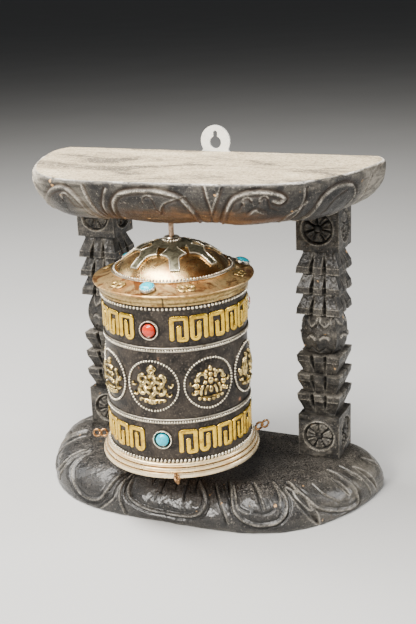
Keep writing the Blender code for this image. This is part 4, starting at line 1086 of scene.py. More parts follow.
def add_lid():
    low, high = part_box("lid_brim")
    rim = high.x
    rim_z = high.z - LID_FALL
    profile = [(LID_BORE, high.z), (LID_SEAT, high.z)]
    for share in np.linspace(0.0, 1.0, 14)[1:]:
        sag = 0.35 * MM * math.sin(math.pi * share)
        reach = LID_SEAT + (rim - 0.5 * MM - LID_SEAT) * share
        profile.append((reach, high.z + (rim_z - high.z) * share - sag))
    # Painted shade: a little on the rim's upper half and more on its lower half.
    for turn in np.linspace(90.0, -90.0, 8):
        profile.append((rim - 0.7 * MM + 0.7 * MM * math.cos(math.radians(turn)),
                        rim_z - 0.75 * MM + 0.75 * MM * math.sin(math.radians(turn)),
                        0.25 if turn > 0 else 0.6))
    skirt_z = low.z - LID_SKIRT
    drop = rim_z - LID_EDGE - skirt_z
    # Painted shade: 0.7 over the cavetto and full on its two steps.
    for share in np.linspace(0.0, 1.0, 16)[1:]:
        hollow = 3.4 * MM * math.sin(share * math.pi / 2.0) ** 0.55
        step = 0.35 * MM * (1.0 if 0.24 < share < 0.36 or 0.66 < share < 0.78 else 0.0)
        shade = 0.7 if step == 0.0 else 1.0
        profile.append((rim - 0.6 * MM - hollow - step, rim_z - LID_EDGE - drop * share, shade))
    # Painted shade inside the skirt and under the lid.
    profile.append((SHELL_HIGH_RADIUS, skirt_z, 1.0))
    profile.append((SHELL_HIGH_RADIUS, rim_z - 2.2 * MM, 1.0))
    profile.append((LID_BORE, high.z - 1.0 * MM, 0.5))
    piece = lathe("turned_lid", profile, lid_copper, "drum", "copper", 360, crease=50.0,
                  seam=LID_SEAM_ANGLE)
    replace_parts(piece, "lid_brim")


DOME_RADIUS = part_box("dome")[1].x
DOME_RISE = 16.9 * MM
DOME_BASE_Z = BASE_TOP + 145.6 * MM
DOME_BALL = (DOME_RADIUS ** 2 + DOME_RISE ** 2) / (2.0 * DOME_RISE)


def dome_height(radius, offset=0.0):
    return DOME_BASE_Z + DOME_RISE - DOME_BALL + math.sqrt((DOME_BALL + offset) ** 2 - radius ** 2)


def on_dome(x, y, offset):
    """A point above the dome; x is to the right and y to the back of the drum's axis."""
    radius = math.hypot(x, y)
    return Vector((x, AXIS_Y + y, dome_height(radius) + offset))


def add_dome():
    wall = 0.8 * MM
    outer = [(radius, dome_height(radius)) for radius in np.linspace(4.0 * MM, DOME_RADIUS, 28)]
    inner = [(radius, dome_height(radius, -wall))
             for radius in np.linspace(DOME_RADIUS - wall, 4.0 * MM, 10)]
    piece = lathe("turned_dome", outer + inner, dome_copper, "drum", "copper", 240)
    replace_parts(piece, "dome")


OVERLAY_INNER = 6.6
OVERLAY_HUB = 13.2
OVERLAY_NECK = 2.8
OVERLAY_SHOULDER = 19.7
OVERLAY_SHOULDER_HALF = 8.3
OVERLAY_LEG_START = 26.0
OVERLAY_LEG_END = 32.5
OVERLAY_LEG_HALF = 2.9
OVERLAY_TOP = 0.95 * MM
OVERLAY_CROWN = 0.25 * MM
OVERLAY_GAP = 0.05 * MM


def overlay_half(along):
    """Half the width of an overlay leg at a distance from the axis, in millimetres."""
    if along < OVERLAY_SHOULDER:
        share = max(0.0, (along - OVERLAY_HUB) / (OVERLAY_SHOULDER - OVERLAY_HUB))
        return OVERLAY_NECK + (OVERLAY_SHOULDER_HALF - OVERLAY_NECK) * share ** 1.6
    share = min(1.0, (along - OVERLAY_SHOULDER) / (OVERLAY_LEG_START - OVERLAY_SHOULDER))
    return OVERLAY_LEG_HALF + (OVERLAY_SHOULDER_HALF - OVERLAY_LEG_HALF) * (1.0 - share) ** 2.2


def leg_point(leg, along, across, offset):
    turn = OVERLAY_FIRST_ANGLE + FULL_TURN * leg / OVERLAY_LEGS
    x = along * math.sin(turn) + across * math.cos(turn)
    y = -along * math.cos(turn) + across * math.sin(turn)
    return on_dome(x * MM, y * MM, offset)


def add_overlay():
    plates = Shapes()
    edges = Shapes()
    stations = np.concatenate([np.linspace(OVERLAY_HUB - 0.6, OVERLAY_SHOULDER, 10),
                               np.linspace(OVERLAY_SHOULDER, OVERLAY_LEG_END, 18)[1:]])
    shares = np.linspace(-1.0, 1.0, 11)
    for leg in range(OVERLAY_LEGS):
        points = []
        for along in stations:
            half = overlay_half(along)
            points += [leg_point(leg, along, half * s, OVERLAY_TOP + OVERLAY_CROWN * (1.0 - s * s))
                       for s in shares]
            points += [leg_point(leg, along, half * s, OVERLAY_GAP) for s in reversed(shares)]
        plates.add(points, tube_faces(len(stations), 2 * len(shares)))
        outer = np.linspace(OVERLAY_SHOULDER + 0.1, OVERLAY_LEG_END, 16)
        inner = np.linspace(OVERLAY_HUB, OVERLAY_SHOULDER, 9)
        lift = OVERLAY_TOP + 0.2 * MM
        side = [leg_point(leg, along, -overlay_half(along), lift) for along in outer]
        far = [leg_point(leg, along, overlay_half(along), lift) for along in reversed(outer)]
        edges.wire(side + far, 0.5 * MM)
        for sign in (-1.0, 1.0):
            neck = [leg_point(leg, along, sign * overlay_half(along), lift) for along in inner]
            edges.wire(neck, 0.28 * MM)
    hub = []
    turns = np.linspace(0.0, FULL_TURN, 84, endpoint=False)
    rings = ((OVERLAY_INNER, OVERLAY_GAP), (OVERLAY_INNER, OVERLAY_TOP), (10.2, OVERLAY_TOP),
             (OVERLAY_HUB - 1.0, 0.6 * OVERLAY_TOP), (OVERLAY_HUB, OVERLAY_GAP))
    for radius, offset in rings:
        hub += [on_dome(radius * MM * math.sin(t), -radius * MM * math.cos(t), offset) for t in turns]
    plates.add(hub, grid_faces(len(rings), len(turns), True, True))
    piece = plates.piece("overlay_plates", overlay_silver, "drum", "white_metal")
    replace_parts(piece, "dome_overlay")
    edges.piece("overlay_wire_edges", bright_bead, "drum", "white_metal")


# Drum: beads and wires.

def bead_row(name, radius, height, count, size, surface=bright_bead, twist=0.0, stretch=1.0):
    """A ring of beads; a twist leans each bead, and stretch makes it taller than wide."""
    beads = Shapes()
    for index in range(count):
        turn = FULL_TURN * index / count
        place = around_drum(turn, radius, height)
        out = Vector((math.sin(turn), -math.cos(turn), 0.0))
        side = Vector((math.cos(turn), math.sin(turn), 0.0))
        leaned_up = (UP * math.cos(twist) + side * math.sin(twist)).normalized()
        leaned_side = leaned_up.cross(out).normalized()
        beads.ball(place, (leaned_side, out, leaned_up), (size, size, size * stretch))
    return beads.piece(name, surface, "drum", "white_metal")


def ring_wire(name, radius, height, thickness, surface, slot="white_metal"):
    shapes = Shapes()
    turns = np.linspace(0.0, FULL_TURN, 180, endpoint=False)
    shapes.wire([around_drum(t, radius, height) for t in turns], thickness, closed=True, sides=10)
    return shapes.piece(name, surface, "drum", slot)


def add_bead_rings():
    high_z = middle_height("bead_ring_high") - LID_SKIRT
    high_radius = shell_radius(high_z) + 0.95 * MM
    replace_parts(bead_row("high_beads", high_radius, high_z, 112, 0.98 * MM), "bead_ring_high")
    low_z = middle_height("bead_ring_low")
    low_radius = shell_radius(low_z) + 0.95 * MM
    low = bead_row("low_twist", low_radius, low_z, 118, 0.84 * MM, twist=0.35, stretch=1.5)
    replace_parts(low, "bead_ring_low")
    ring_wire("low_twist_seat", shell_radius(low_z) + 0.3 * MM, low_z - 1.1 * MM, 0.6 * MM, drum_ground,
              "dark_metal")
    for label, node in (("upper", "double_ring_high"), ("lower", "double_ring_low")):
        height = middle_height(node)
        radius = shell_radius(height)
        wire = ring_wire(f"{label}_ring_wire", radius + 0.55 * MM, height + 0.9 * MM, 0.6 * MM, worn_wire)
        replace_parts(wire, node)
        bead_row(f"{label}_ring_beads", radius + 0.6 * MM, height - 0.7 * MM, 172, 0.72 * MM)
        ring_wire(f"{label}_ring_seat", radius + 0.1 * MM, height - 1.5 * MM, 0.45 * MM, worn_wire)
    dome_z = middle_height("dome_bead_ring")
    dome_ring = bead_row("dome_beads", 38.4 * MM, dome_z, 112, 0.86 * MM, white_metal, twist=0.3,
                         stretch=1.15)
    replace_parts(dome_ring, "dome_bead_ring")
    ring_wire("dome_bead_wire", 39.7 * MM, dome_z - 0.6 * MM, 0.45 * MM, white_metal)
    apex_z = middle_height("apex_ring")
    apex = bead_row("apex_beads", 5.4 * MM, apex_z + 0.2 * MM, 18, 0.95 * MM, twist=0.3, stretch=1.25)
    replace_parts(apex, "apex_ring")


# Each pair's side, angle in degrees, start from the axis in millimetres, twist and upturn in degrees.
WIRE_EYES = (("left", -68.5, 50.2, 8.0, 0.0), ("front", 21.5, 53.7, 32.0, 0.0),
             ("right", 111.5, 50.2, -6.0, 20.0), ("back", 201.5, 50.2, 10.0, 0.0))


def add_wire_eyes():
    """Pairs of closed wire eyes that stand out from the flange in a radial plane."""
    eye = 2.3 * MM
    wire = 0.80 * MM
    for side, angle, start, twist, upturn in WIRE_EYES:
        node = f"wire_loop_{side}"
        height = middle_height(node)
        turn = math.radians(angle)
        rise = math.radians(upturn)
        level = math.cos(rise)
        out = Vector((math.sin(turn) * level, -math.cos(turn) * level, math.sin(rise)))
        up = Matrix.Rotation(math.radians(twist), 3, out) @ UP
        root = around_drum(turn, start * MM, height)
        shapes = Shapes()
        for order in (0, 1):
            distance = wire + eye * (1.0 + 2.0 * order)
            centre = root + out * distance
            path = [centre + out * (eye * math.cos(t)) + up * (eye * math.sin(t))
                    for t in np.linspace(0.0, FULL_TURN, 28, endpoint=False)]
            shapes.wire(path, wire, closed=True, sides=10)
        joint = root + out * (wire + 2.0 * eye)
        side_axis = out.cross(up)
        wrap = [joint + side_axis * (1.15 * wire * math.cos(t)) + out * (1.7 * wire * math.sin(t))
                for t in np.linspace(0.0, FULL_TURN, 14, endpoint=False)]
        shapes.wire(wrap, 0.35 * MM, closed=True, sides=6)
        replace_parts(shapes.piece(f"closed_eyes_{side}", wire_brass, "drum", "brass"), node)


# Drum: relief on the wall.

def on_wall(turn, height):
    """A function that lays plan millimetres and a height on the drum's wall."""
    def place(across, along, rise):
        z = height + along * MM
        radius = shell_radius(z)
        return around_drum(turn + across * MM / radius, radius + rise * MM, z)
    return place


def wall_axes(spot):
    """The directions along, up and out of the drum's wall at a spot."""
    turn = math.atan2(spot.x, AXIS_Y - spot.y)
    return (Vector((math.cos(turn), math.sin(turn), 0.0)), UP,
            Vector((math.sin(turn), -math.cos(turn), 0.0)))


FRET_RISE = 1.0
FRET_WIDTH = 2.8
FRET_UNITS = 6


def square_spiral(half, high):
    """A square spiral of a key-fret border, from its outer foot inwards."""
    return [(-half, -high), (-half, high), (half, high), (half, -high + 0.4), (0.0, -high + 0.4),
            (0.0, high - 4.6)]


def round_spiral(half, high):
    """The same spiral with a round turn at its foot and a hooked end."""
    turn = arc((half / 2.0, -high + half / 2.0 + 0.4), half / 2.0, 0.0, -180.0, 8)
    hook = arc((-0.9, high - 4.6), 0.9, 0.0, 120.0, 4)
    return [(-half, -high), (-half, high), (half, high)] + turn + hook


def add_fret(name, node, first_stone, first, last):
    """Key-fret borders between the stones: plain ornament, with no lettering."""
    low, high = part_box(node)
    middle = (low.z + high.z) / 2.0
    tall = (high.z - low.z) / MM / 2.0 - FRET_WIDTH / 2.0 - 0.2
    radius = shell_radius(middle) / MM
    step = math.radians(last - first) * radius / FRET_UNITS
    half = (step - FRET_WIDTH - 0.9) / 2.0
    border = Shapes()
    for section in range(STONES):
        start = first_stone + section * FULL_TURN / STONES + math.radians(first)
        for unit in range(FRET_UNITS):
            shape = square_spiral if unit % 2 == 0 else round_spiral
            side = -1.0 if unit % 3 == 1 else 1.0
            place = on_wall(start + (unit + 0.5) * step / radius, middle)
            path = resample(mirrored(side, shape(half, tall)), 0.7)
            border.bar(path, FRET_WIDTH, FRET_RISE, place, section=FLAT_BAR)
    piece = border.piece(name, relief_gold, "drum", "gilt")
    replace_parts(piece, node)


# Medallions: each motif returns bars (path, width) and blobs (across, along, half sizes).

KNOT_PITCH = 4.4
KNOT_STEP = 0.7
KNOT_WAVE = math.pi * KNOT_STEP / (0.95 * KNOT_PITCH)


def ring_path(centre, radius, count=24):
    return arc(centre, radius, 0.0, 360.0, count)


def motif_knot():
    """An endless knot: three bars each way, woven, with loops round their ends."""
    offsets = (-KNOT_PITCH, 0.0, KNOT_PITCH)
    reach = 1.5 * KNOT_PITCH
    level = [([(-reach, offset), (reach, offset)], 2.9) for offset in offsets]
    upright = [([(offset, -reach), (offset, reach)], 2.9) for offset in offsets]
    bars = [level[0], upright[0], upright[1], level[1], level[2], upright[2]]
    half = KNOT_PITCH / 2.0
    bars.append((arc((reach, -half), half, -90.0, 90.0, 8), 2.6))
    bars.append((arc((-reach, half), half, 90.0, 270.0, 8), 2.6))
    bars.append((arc((-half, reach), half, 0.0, 180.0, 8), 2.6))
    bars.append((arc((half, -reach), half, 180.0, 360.0, 8), 2.6))
    for side in (-1.0, 1.0):
        corner = [(reach, KNOT_PITCH), (reach + 1.2, KNOT_PITCH + 0.8), (reach + 0.8, reach + 0.8),
                  (KNOT_PITCH + 0.8, reach + 1.2), (KNOT_PITCH, reach)]
        bars.append(([(side * x, side * y) for x, y in corner], 2.6))
    turned = []
    for path, width in bars:
        turned.append(([((x - y) * 0.62, (x + y) * 0.72 + 1.0) for x, y in path], width))
    return turned, []


def motif_lotus():
    """A lotus on a stand: a finial, two small arches, round buds and slanted leaves."""
    bars = []
    blobs = [(0.0, 8.8, 1.4, 1.9), (0.0, 5.4, 1.6, 1.6), (0.0, 1.8, 1.9, 2.4), (0.0, -3.6, 1.5, 2.4)]
    for side in (-1.0, 1.0):
        bars.append((mirrored(side, arc((5.2, 4.0), 2.4, -50.0, 200.0, 14)), 2.3))
        bars.append(([(side * 1.8, -1.0), (side * 3.2, -3.6), (side * 3.6, -6.2)], 1.8))
        bars.append(([(side * 4.4, -0.4), (side * 6.0, -3.4), (side * 6.0, -6.2)], 2.0))
        blobs.append((side * 2.6, 7.4, 1.2, 1.2))
        blobs.append((side * 3.4, 1.0, 1.4, 1.4))
        blobs.append((side * 8.2, -0.6, 1.8, 2.0))
        blobs.append((side * 8.4, -4.2, 1.6, 1.6))
        blobs.append((side * 8.6, 2.6, 1.2, 1.3))
    return bars, blobs


def motif_leaves():
    bars = []
    blobs = []
    for side in (-1.0, 1.0):
        bars.append((mirrored(side, arc((0.6, 1.0), 6.8, -70.0, 80.0, 14)), 1.8))
        bars.append((mirrored(side, arc((9.0, 1.2), 5.6, 120.0, 240.0, 12)), 1.6))
        bars.append(([(side * 4.8, -5.0), (side * 4.6, 1.0), (side * 3.4, 6.5)], 1.3))
        blobs.append((side * 3.0, 8.6, 1.3, 1.3))
        blobs.append((side * 9.8, -1.0, 1.2, 2.0))
    return bars, blobs + [(0.0, -6.5, 1.7, 1.2)]


def motif_wheel():
    bars = [(ring_path((0.0, 1.6), 7.4), 1.8), (ring_path((0.0, 1.6), 2.4, 16), 1.3)]
    for turn in range(8):
        angle = math.radians(45.0 * turn)
        inner = (2.8 * math.cos(angle), 1.6 + 2.8 * math.sin(angle))
        outer = (9.6 * math.cos(angle), 1.6 + 9.6 * math.sin(angle))
        bars.append(([inner, outer], 1.2))
    return bars, [(0.0, 1.6, 1.1, 1.1)]


def motif_spiral():
    path = []
    for turn in np.linspace(0.0, 2.35 * FULL_TURN, 60):
        reach = 1.0 + 0.44 * turn
        path.append((reach * math.cos(turn) - 0.6, 2.2 + reach * math.sin(turn)))
    bars = [(path, 1.8), ([(6.5, 3.0), (8.6, -2.4), (3.0, -7.4)], 1.7)]
    return bars, [(-8.6, 6.4, 1.3, 1.3), (-9.4, -3.4, 1.2, 1.6), (9.4, 5.8, 1.2, 1.5)]


def motif_parasol():
    bars = [(arc((0.0, 0.2), 8.6, 12.0, 168.0, 18), 1.9), ([(0.0, 8.8), (0.0, -7.4)], 1.5)]
    for lean in (-5.8, -2.9, 2.9, 5.8):
        bars.append(([(lean * 0.35, 7.6), (lean * 1.12, 1.4)], 1.2))
    bars.append(([(-8.2, 0.6), (-4.2, -0.6), (0.0, 0.4), (4.2, -0.6), (8.2, 0.6)], 1.5))
    bars.append((arc((-4.6, -4.0), 2.6, 60.0, 330.0, 12), 1.3))
    bars.append((arc((4.6, -4.0), 2.6, 120.0, -150.0, 12), 1.3))
    return bars, [(0.0, 10.2, 1.3, 1.5)]


def motif_vase():
    bars = []
    for side in (-1.0, 1.0):
        outline = [(0.6, 6.6), (2.4, 5.4), (1.8, 3.6), (5.4, 1.0), (5.6, -3.0), (2.8, -6.4), (0.4, -7.2)]
        bars.append((mirrored(side, outline), 1.8))
        bars.append((mirrored(side, arc((7.6, 5.2), 2.8, 230.0, 10.0, 12)), 1.4))
        bars.append(([(side * 1.0, 8.0), (side * 4.0, 9.6)], 1.5))
    return bars, [(0.0, -1.2, 2.2, 2.6), (0.0, 9.6, 1.4, 1.5), (-9.6, -2.4, 1.2, 1.8), (9.6, -2.4, 1.2, 1.8)]


def motif_banner():
    bars = []
    for level in range(3):
        height = 5.2 - 4.4 * level
        half = 4.6 + 0.8 * level
        bars.append((arc((0.0, height - 2.0), half, 25.0, 155.0, 12, 0.7), 1.6))
        bars.append(([(-half, height - 2.6), (half, height - 2.6)], 1.3))
    for side in (-1.0, 1.0):
        bars.append(([(side * 7.6, 6.0), (side * 9.6, 2.0), (side * 8.0, -2.0), (side * 9.2, -5.6)], 1.4))
    return bars, [(0.0, 9.0, 1.4, 1.9)]


def motif_wreath():
    """What every medallion shares: a row of lotus lobes below and small scrolls at both sides."""
    bars = [([(-7.6, -7.5), (0.0, -7.9), (7.6, -7.5)], 1.1)]
    blobs = [((step - 2.5) * 2.7, -9.5 + 0.03 * (2.7 * (step - 2.5)) ** 2, 1.3, 1.25) for step in range(6)]
    for side in (-1.0, 1.0):
        for level in range(2):
            angle = math.radians(-24.0 + 30.0 * level)
            centre = (10.6 * math.cos(angle), 10.6 * math.sin(angle))
            start = 150.0 + 30.0 * level
            curl = arc(centre, 1.3, start, start + 230.0, 8)
            bars.append((mirrored(side, curl), 1.1))
    return bars, blobs


MOTIFS = (motif_knot, motif_lotus, motif_leaves, motif_wheel, motif_spiral, motif_parasol, motif_vase,
          motif_banner)
# The plate's rings as (reach, rise), and the radius of its border, in millimetres.
MEDALLION_RINGS = ((0.0, 1.3), (6.0, 1.2), (11.0, 0.95), (14.4, 0.5), (15.6, 0.15), (17.2, 0.55),
                   (17.5, 0.0))
MEDALLION_SIDES = 72
MEDALLION_BACK = -0.6
MEDALLION_BORDER = 16.7
MEDALLION_BEADS = 54
MOTIF_SCALE = 1.12
MOTIF_RISE = 1.9
KNOT_WOVEN_BARS = 6


def add_medallion(index):
    height = middle_height(f"medallion_{index + 1}")
    turn = FIRST_MEDALLION_ANGLE + FULL_TURN * index / MEDALLIONS
    place = on_wall(turn, height)
    plate = Shapes()
    points = []
    rings = MEDALLION_RINGS
    sides = MEDALLION_SIDES
    for reach, rise in rings[1:]:
        points += [place(reach * math.cos(t), reach * math.sin(t), rise)
                   for t in (FULL_TURN * k / sides for k in range(sides))]
    faces = grid_faces(len(rings) - 1, sides, wrap_columns=True)
    centre = len(points)
    points.append(place(0.0, 0.0, rings[0][1]))
    faces += [(centre, k, (k + 1) % sides) for k in range(sides)]
    last = (len(rings) - 2) * sides
    points.append(place(0.0, 0.0, MEDALLION_BACK))
    faces += [(centre + 1, last + (k + 1) % sides, last + k) for k in range(sides)]
    plate.add(points, faces)
    base = plate.piece(f"medallion_plate_{index + 1}", drum_ground, "drum", "dark_metal")
    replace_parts(base, f"medallion_{index + 1}")

    border = Shapes()
    for bead in range(MEDALLION_BEADS):
        angle = FULL_TURN * bead / MEDALLION_BEADS
        spot = place(MEDALLION_BORDER * math.cos(angle), MEDALLION_BORDER * math.sin(angle), 0.75)
        border.ball(spot, wall_axes(spot), (0.76 * MM, 0.76 * MM, 0.85 * MM), 5, 8)
    border.piece(f"medallion_beads_{index + 1}", bright_bead, "drum", "white_metal")

    relief = Shapes()
    bars, blobs = MOTIFS[index]()
    wreath_bars, wreath_blobs = motif_wreath()
    bars = list(bars) + wreath_bars
    blobs = list(blobs) + wreath_blobs

    def raised(across, along, rise):
        ground = 0.95 - 0.5 * (math.hypot(across, along) / 15.0) ** 2
        return place(across, along, ground + rise)

    for order, (path, width) in enumerate(bars):
        even = resample(path, KNOT_STEP) * MOTIF_SCALE
        woven = index == 0 and order < KNOT_WOVEN_BARS
        weave = (lambda k, o=order: 0.6 * math.sin(KNOT_WAVE * k + math.pi * o)) if woven else None
        relief.bar(even, width * MOTIF_SCALE, MOTIF_RISE, raised, lift=weave)
    for blob in blobs:
        across, along, half_across, half_along = (MOTIF_SCALE * value for value in blob)
        spot = raised(across, along, 0.3)
        relief.ball(spot, wall_axes(spot), (half_across * MM, half_along * MM, MOTIF_RISE * MM))
    relief.piece(f"medallion_motif_{index + 1}", motif_metal, "drum", "gilt")


# Stones in their bezels.

CUP_BEADS = 44


def add_set_stone(name, angle, radius, height, tilt, surface, slot, toothed):
    """A domed stone in a cup; the cup has a wire rim, or teeth folded over the stone."""
    seat = Matrix.Translation(around_drum(angle, radius, height))
    turn = Matrix.Rotation(angle, 4, "Z") @ Matrix.Rotation(tilt, 4, "X")
    world = seat @ turn

    def at(reach, spin, rise):
        return world @ Vector((reach * MM * math.cos(spin), reach * MM * math.sin(spin), rise * MM))

    sides = 40
    spins = [FULL_TURN * k / sides for k in range(sides)]
    girth = 4.75 if toothed else 4.2
    dome = [(girth + 0.05, 0.2)]
    dome += [(girth * math.cos(t) ** 0.8, 0.6 + 2.5 * math.sin(t)) for t in np.linspace(0.0, 1.45, 12)]
    points = [at(reach, spin, rise) for reach, rise in dome for spin in spins]
    gem = add_piece(f"{name}_gem", points, tube_faces(len(dome), sides), surface, "drum", slot,
                    {"recess_shade": [0.0] * len(points)})
    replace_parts(gem, f"{name}_stone")

    cup = Shapes()
    rim = 5.0 if toothed else 6.1
    # The third number in each row is painted shade: dark on the cup's floor, less up its inner wall, none on
    # the rim and darker down the outside.
    profile = [(0.6, 0.1, 1.0), (rim - 1.1, 0.12, 1.0), (rim - 0.75, 0.5, 0.9), (rim - 0.5, 1.0, 0.2),
               (rim - 0.25, 1.15, 0.0), (rim, 0.9, 0.0), (rim + 0.1, 0.2, 0.4), (rim + 0.1, -0.5, 0.7),
               (0.6, -0.5, 1.0)]
    points = [at(row[0], spin, row[1]) for row in profile for spin in spins]
    shade = [row[2] for row in profile for spin in spins]
    cup.add(points, grid_faces(len(profile), sides, True, True), shade)
    if toothed:
        teeth = 22
        for tooth in range(teeth):
            spin = FULL_TURN * tooth / teeth
            foot = at(5.0, spin, 0.9)
            tip = at(4.35, spin, 1.7)
            outward = (at(6.0, spin, 0.0) - at(5.0, spin, 0.0)).normalized()
            lengthways = (tip - foot).normalized()
            sideways = lengthways.cross(outward).normalized()
            cup.ball((foot + tip) / 2.0, (sideways, lengthways.cross(sideways), lengthways),
                     (0.42 * MM, 0.26 * MM, 0.7 * MM), 5, 6)
    else:
        for bead in range(CUP_BEADS):
            spot = at(5.85, FULL_TURN * bead / CUP_BEADS, 1.05)
            cup.ball(spot, (Vector((1, 0, 0)), Vector((0, 1, 0)), UP), (0.42 * MM,) * 3, 4, 6)
    setting = cup.piece(f"{name}_cup", white_metal if toothed else bright_bead, "drum", "white_metal")
    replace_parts(setting, f"{name}_bezel")


WALL_CUP_LIFT = 0.9 * MM
LID_CUP_LIFT = 2.2 * MM
LID_STONE_RADIUS = 46.3 * MM
LID_STONE_SLOPE = 19.3


def add_stones():
    pitch = FULL_TURN / STONES
    upright = math.radians(90.0)
    slope = math.radians(LID_STONE_SLOPE)
    for index in range(STONES):
        number = index + 1
        for label, first, surface in (("coral", HIGH_STONE_ANGLE, coral_stone),
                                      ("turquoise", LOW_STONE_ANGLE, turquoise_stone)):
            height = middle_height(f"{label}_{number}_bezel")
            radius = shell_radius(height) + WALL_CUP_LIFT
            add_set_stone(f"{label}_{number}", first + index * pitch, radius, height, upright, surface,
                          label, False)
        name = f"lid_turquoise_{number}"
        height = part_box(f"{name}_bezel")[0].z + LID_CUP_LIFT
        add_set_stone(name, LID_STONE_ANGLE + index * pitch, LID_STONE_RADIUS, height, slope,
                      turquoise_stone, "turquoise", True)


# Small raised ornaments on the lid's brim.

BRIM_SEAT = 40.0 * MM
BRIM_MIDDLE = 46.0 * MM
BRIM_SINK = 0.25 * MM


def add_brim_ornaments():
    """Two curls with leaves between each pair of stones, laid on the brim's slope."""
    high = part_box("lid_brim")[1]
    width = high.x - BRIM_SEAT
    ornaments = Shapes()
    pitch = FULL_TURN / STONES
    for index in range(STONES):
        for offset in (-30.0, 30.0):
            turn = LID_STONE_ANGLE + index * pitch + math.radians(offset)

            def place(across, along, rise, turn=turn):
                radius = BRIM_MIDDLE + along * MM
                z = high.z - LID_FALL * (radius - BRIM_SEAT) / width - BRIM_SINK + rise * MM
                return around_drum(turn + across * MM / radius, radius, z)

            for side in (-1.0, 1.0):
                curl = mirrored(side, arc((2.6, 0.0), 2.1, -150.0, 150.0, 12))
                ornaments.bar(resample(curl, 0.6), 1.6, 0.7, place)
                leaf = [(side * 0.4, -2.6), (side * 3.4, -3.2), (side * 5.6, -1.4)]
                ornaments.bar(resample(leaf, 0.6), 1.6, 0.6, place)
            ornaments.bar(resample([(0.0, -2.8), (0.0, 2.8)], 0.6), 1.3, 0.55, place)
    ornaments.piece("brim_ornaments", brim_relief, "drum", "gilt")


# Spindle, collar and washers.

WASHER_BORE = 2.05 * MM


def add_spindle():
    low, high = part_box("spindle")
    radius = high.x
    profile = [(0.2 * radius, low.z), (radius, low.z + 0.3 * MM)]
    for share in np.linspace(0.0, 1.0, 60):
        height = low.z + 0.5 * MM + (high.z - low.z - 1.0 * MM) * share
        profile.append((radius * (1.0 + 0.02 * math.sin(17.0 * share * share * 9.0)), height))
    profile += [(radius, high.z - 0.3 * MM), (0.2 * radius, high.z)]
    piece = lathe("tarnished_spindle", profile, rod_copper, "stand", "copper", 32, closed=False)
    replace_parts(piece, "spindle")
    washer_low, washer_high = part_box("top_washer")
    outer = washer_high.x
    bore = WASHER_BORE
    profile = [(bore, washer_low.z), (outer - 0.2 * MM, washer_low.z), (outer, washer_low.z + 0.3 * MM),
               (outer - 0.2 * MM, washer_high.z), (bore, washer_high.z)]
    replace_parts(lathe("pressed_washer", profile, white_metal, "stand", "white_metal", 48), "top_washer")


def dress_cad_nodes():
    """Give the CAD nodes that stay in the model their own surfaces."""
    surfaces = {
        "rest_collar": wire_brass, "thrust_washer": wire_brass, "lower_bush": wire_brass,
        "upper_bush": wire_brass, "core_tube": rod_copper, "bottom_plate": rod_copper,
        "prayer_scroll": paper, "hanger_plate": zinc_plate, "hanger_screw_left": zinc_plate,
        "hanger_screw_right": zinc_plate,
    }
    for node, surface in surfaces.items():
        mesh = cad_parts[node].data
        mesh.materials.clear()
        mesh.materials.append(surface)


add_shell()
add_flange()
add_lid()
add_dome()
add_overlay()
add_bead_rings()
add_wire_eyes()
add_fret("high_fret", "ornament_band_high", HIGH_STONE_ANGLE, 15.0, 107.5)
add_fret("low_fret", "ornament_band_low", LOW_STONE_ANGLE, 12.0, 105.5)
for medallion in range(MEDALLIONS):
    add_medallion(medallion)
add_stones()
add_brim_ornaments()
add_spindle()
dress_cad_nodes()


# Camera, floor and light.

CAMERA_PLACE = Vector((0.28829, -0.60932, 0.35077))
CAMERA_YAW = math.radians(23.83)
CAMERA_PITCH = math.radians(17.81)
CAMERA_ROLL = math.radians(-2.36)
SENSOR_WIDTH_MM = 36.0
LENS_MM = 61.08


def add_camera():
    """The view from the front right and above; the pitch looks down."""
    yaw, pitch, roll = CAMERA_YAW, CAMERA_PITCH, CAMERA_ROLL
    ahead = Vector((-math.sin(yaw) * math.cos(pitch), math.cos(yaw) * math.cos(pitch), -math.sin(pitch)))
    level_right = Vector((math.cos(yaw), math.sin(yaw), 0.0))
    level_up = level_right.cross(ahead)
    right = level_right * math.cos(roll) + level_up * math.sin(roll)
    up = level_up * math.cos(roll) - level_right * math.sin(roll)
    data = bpy.data.cameras.new("camera")
    data.sensor_width = SENSOR_WIDTH_MM
    data.lens = LENS_MM
    camera = bpy.data.objects.new("camera", data)
    bpy.context.scene.collection.objects.link(camera)
    axes = Matrix((right, up, -ahead)).transposed()
    camera.matrix_world = Matrix.Translation(CAMERA_PLACE) @ axes.to_4x4()
    bpy.context.scene.camera = camera


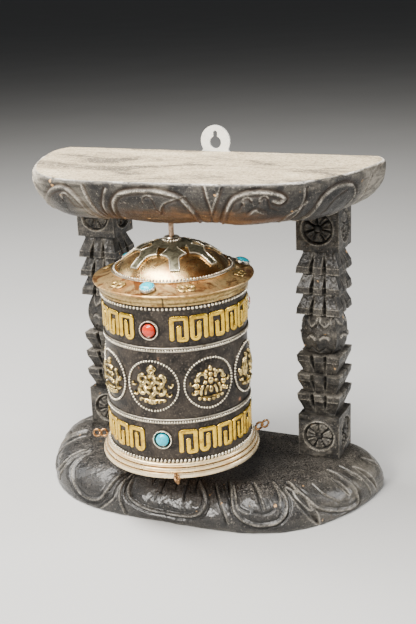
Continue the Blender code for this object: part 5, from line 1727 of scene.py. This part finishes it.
FLOOR_REACH = 30.0


def add_floor():
    points = [(x * FLOOR_REACH, y * FLOOR_REACH, 0.0) for x, y in ((-1, -1), (1, -1), (1, 1), (-1, 1))]
    mesh = bpy.data.meshes.new("floor")
    mesh.from_pydata(points, [], [(0, 1, 2, 3)])
    s = Surface("floor_paper", roughness=0.8)
    s.set("Base Color", s.mix(s.share(s.noise(3.0), 0.3, 0.7), (0.44, 0.44, 0.435), (0.46, 0.46, 0.455)))
    mesh.materials.append(s.material)
    floor = bpy.data.objects.new("floor", mesh)
    bpy.context.scene.collection.objects.link(floor)


# Each lamp's name, place, (width, height) in metres, power in watts and colour.
WHITE_LIGHT = (1.0, 1.0, 1.0)
LAMPS = (
    ("overhead", (-0.20, -0.24, 1.12), (1.30, 0.50), 50.0, (1.0, 0.97, 0.92)),
    ("key", (-0.30, -1.00, 0.75), (0.40, 0.34), 22.0, (1.0, 0.96, 0.90)),
    ("left_fill", (-0.95, 0.05, 0.50), (0.3, 0.6), 3.0, WHITE_LIGHT),
    ("right_rim", (0.85, 0.25, 0.50), (0.3, 0.6), 6.0, WHITE_LIGHT),
)
LAMP_TARGET = Vector((0.0, 0.0, 0.12))
SKY_COLOUR = (0.80, 0.82, 0.85, 1.0)
SKY_STRENGTH = 0.055


def add_area(name, location, size, power, colour):
    data = bpy.data.lights.new(name, "AREA")
    data.shape = "RECTANGLE"
    data.size = size[0]
    data.size_y = size[1]
    data.energy = power
    data.color = colour
    light = bpy.data.objects.new(name, data)
    light.location = location
    light.rotation_euler = (LAMP_TARGET - Vector(location)).to_track_quat("-Z", "Y").to_euler()
    bpy.context.scene.collection.objects.link(light)


def add_lights():
    for lamp in LAMPS:
        add_area(*lamp)
    world = bpy.data.worlds.new("studio")
    world.use_nodes = True
    background = world.node_tree.nodes["Background"]
    background.inputs["Color"].default_value = SKY_COLOUR
    background.inputs["Strength"].default_value = SKY_STRENGTH
    bpy.context.scene.world = world


add_camera()
add_floor()
add_lights()

bpy.context.view_layer.update()
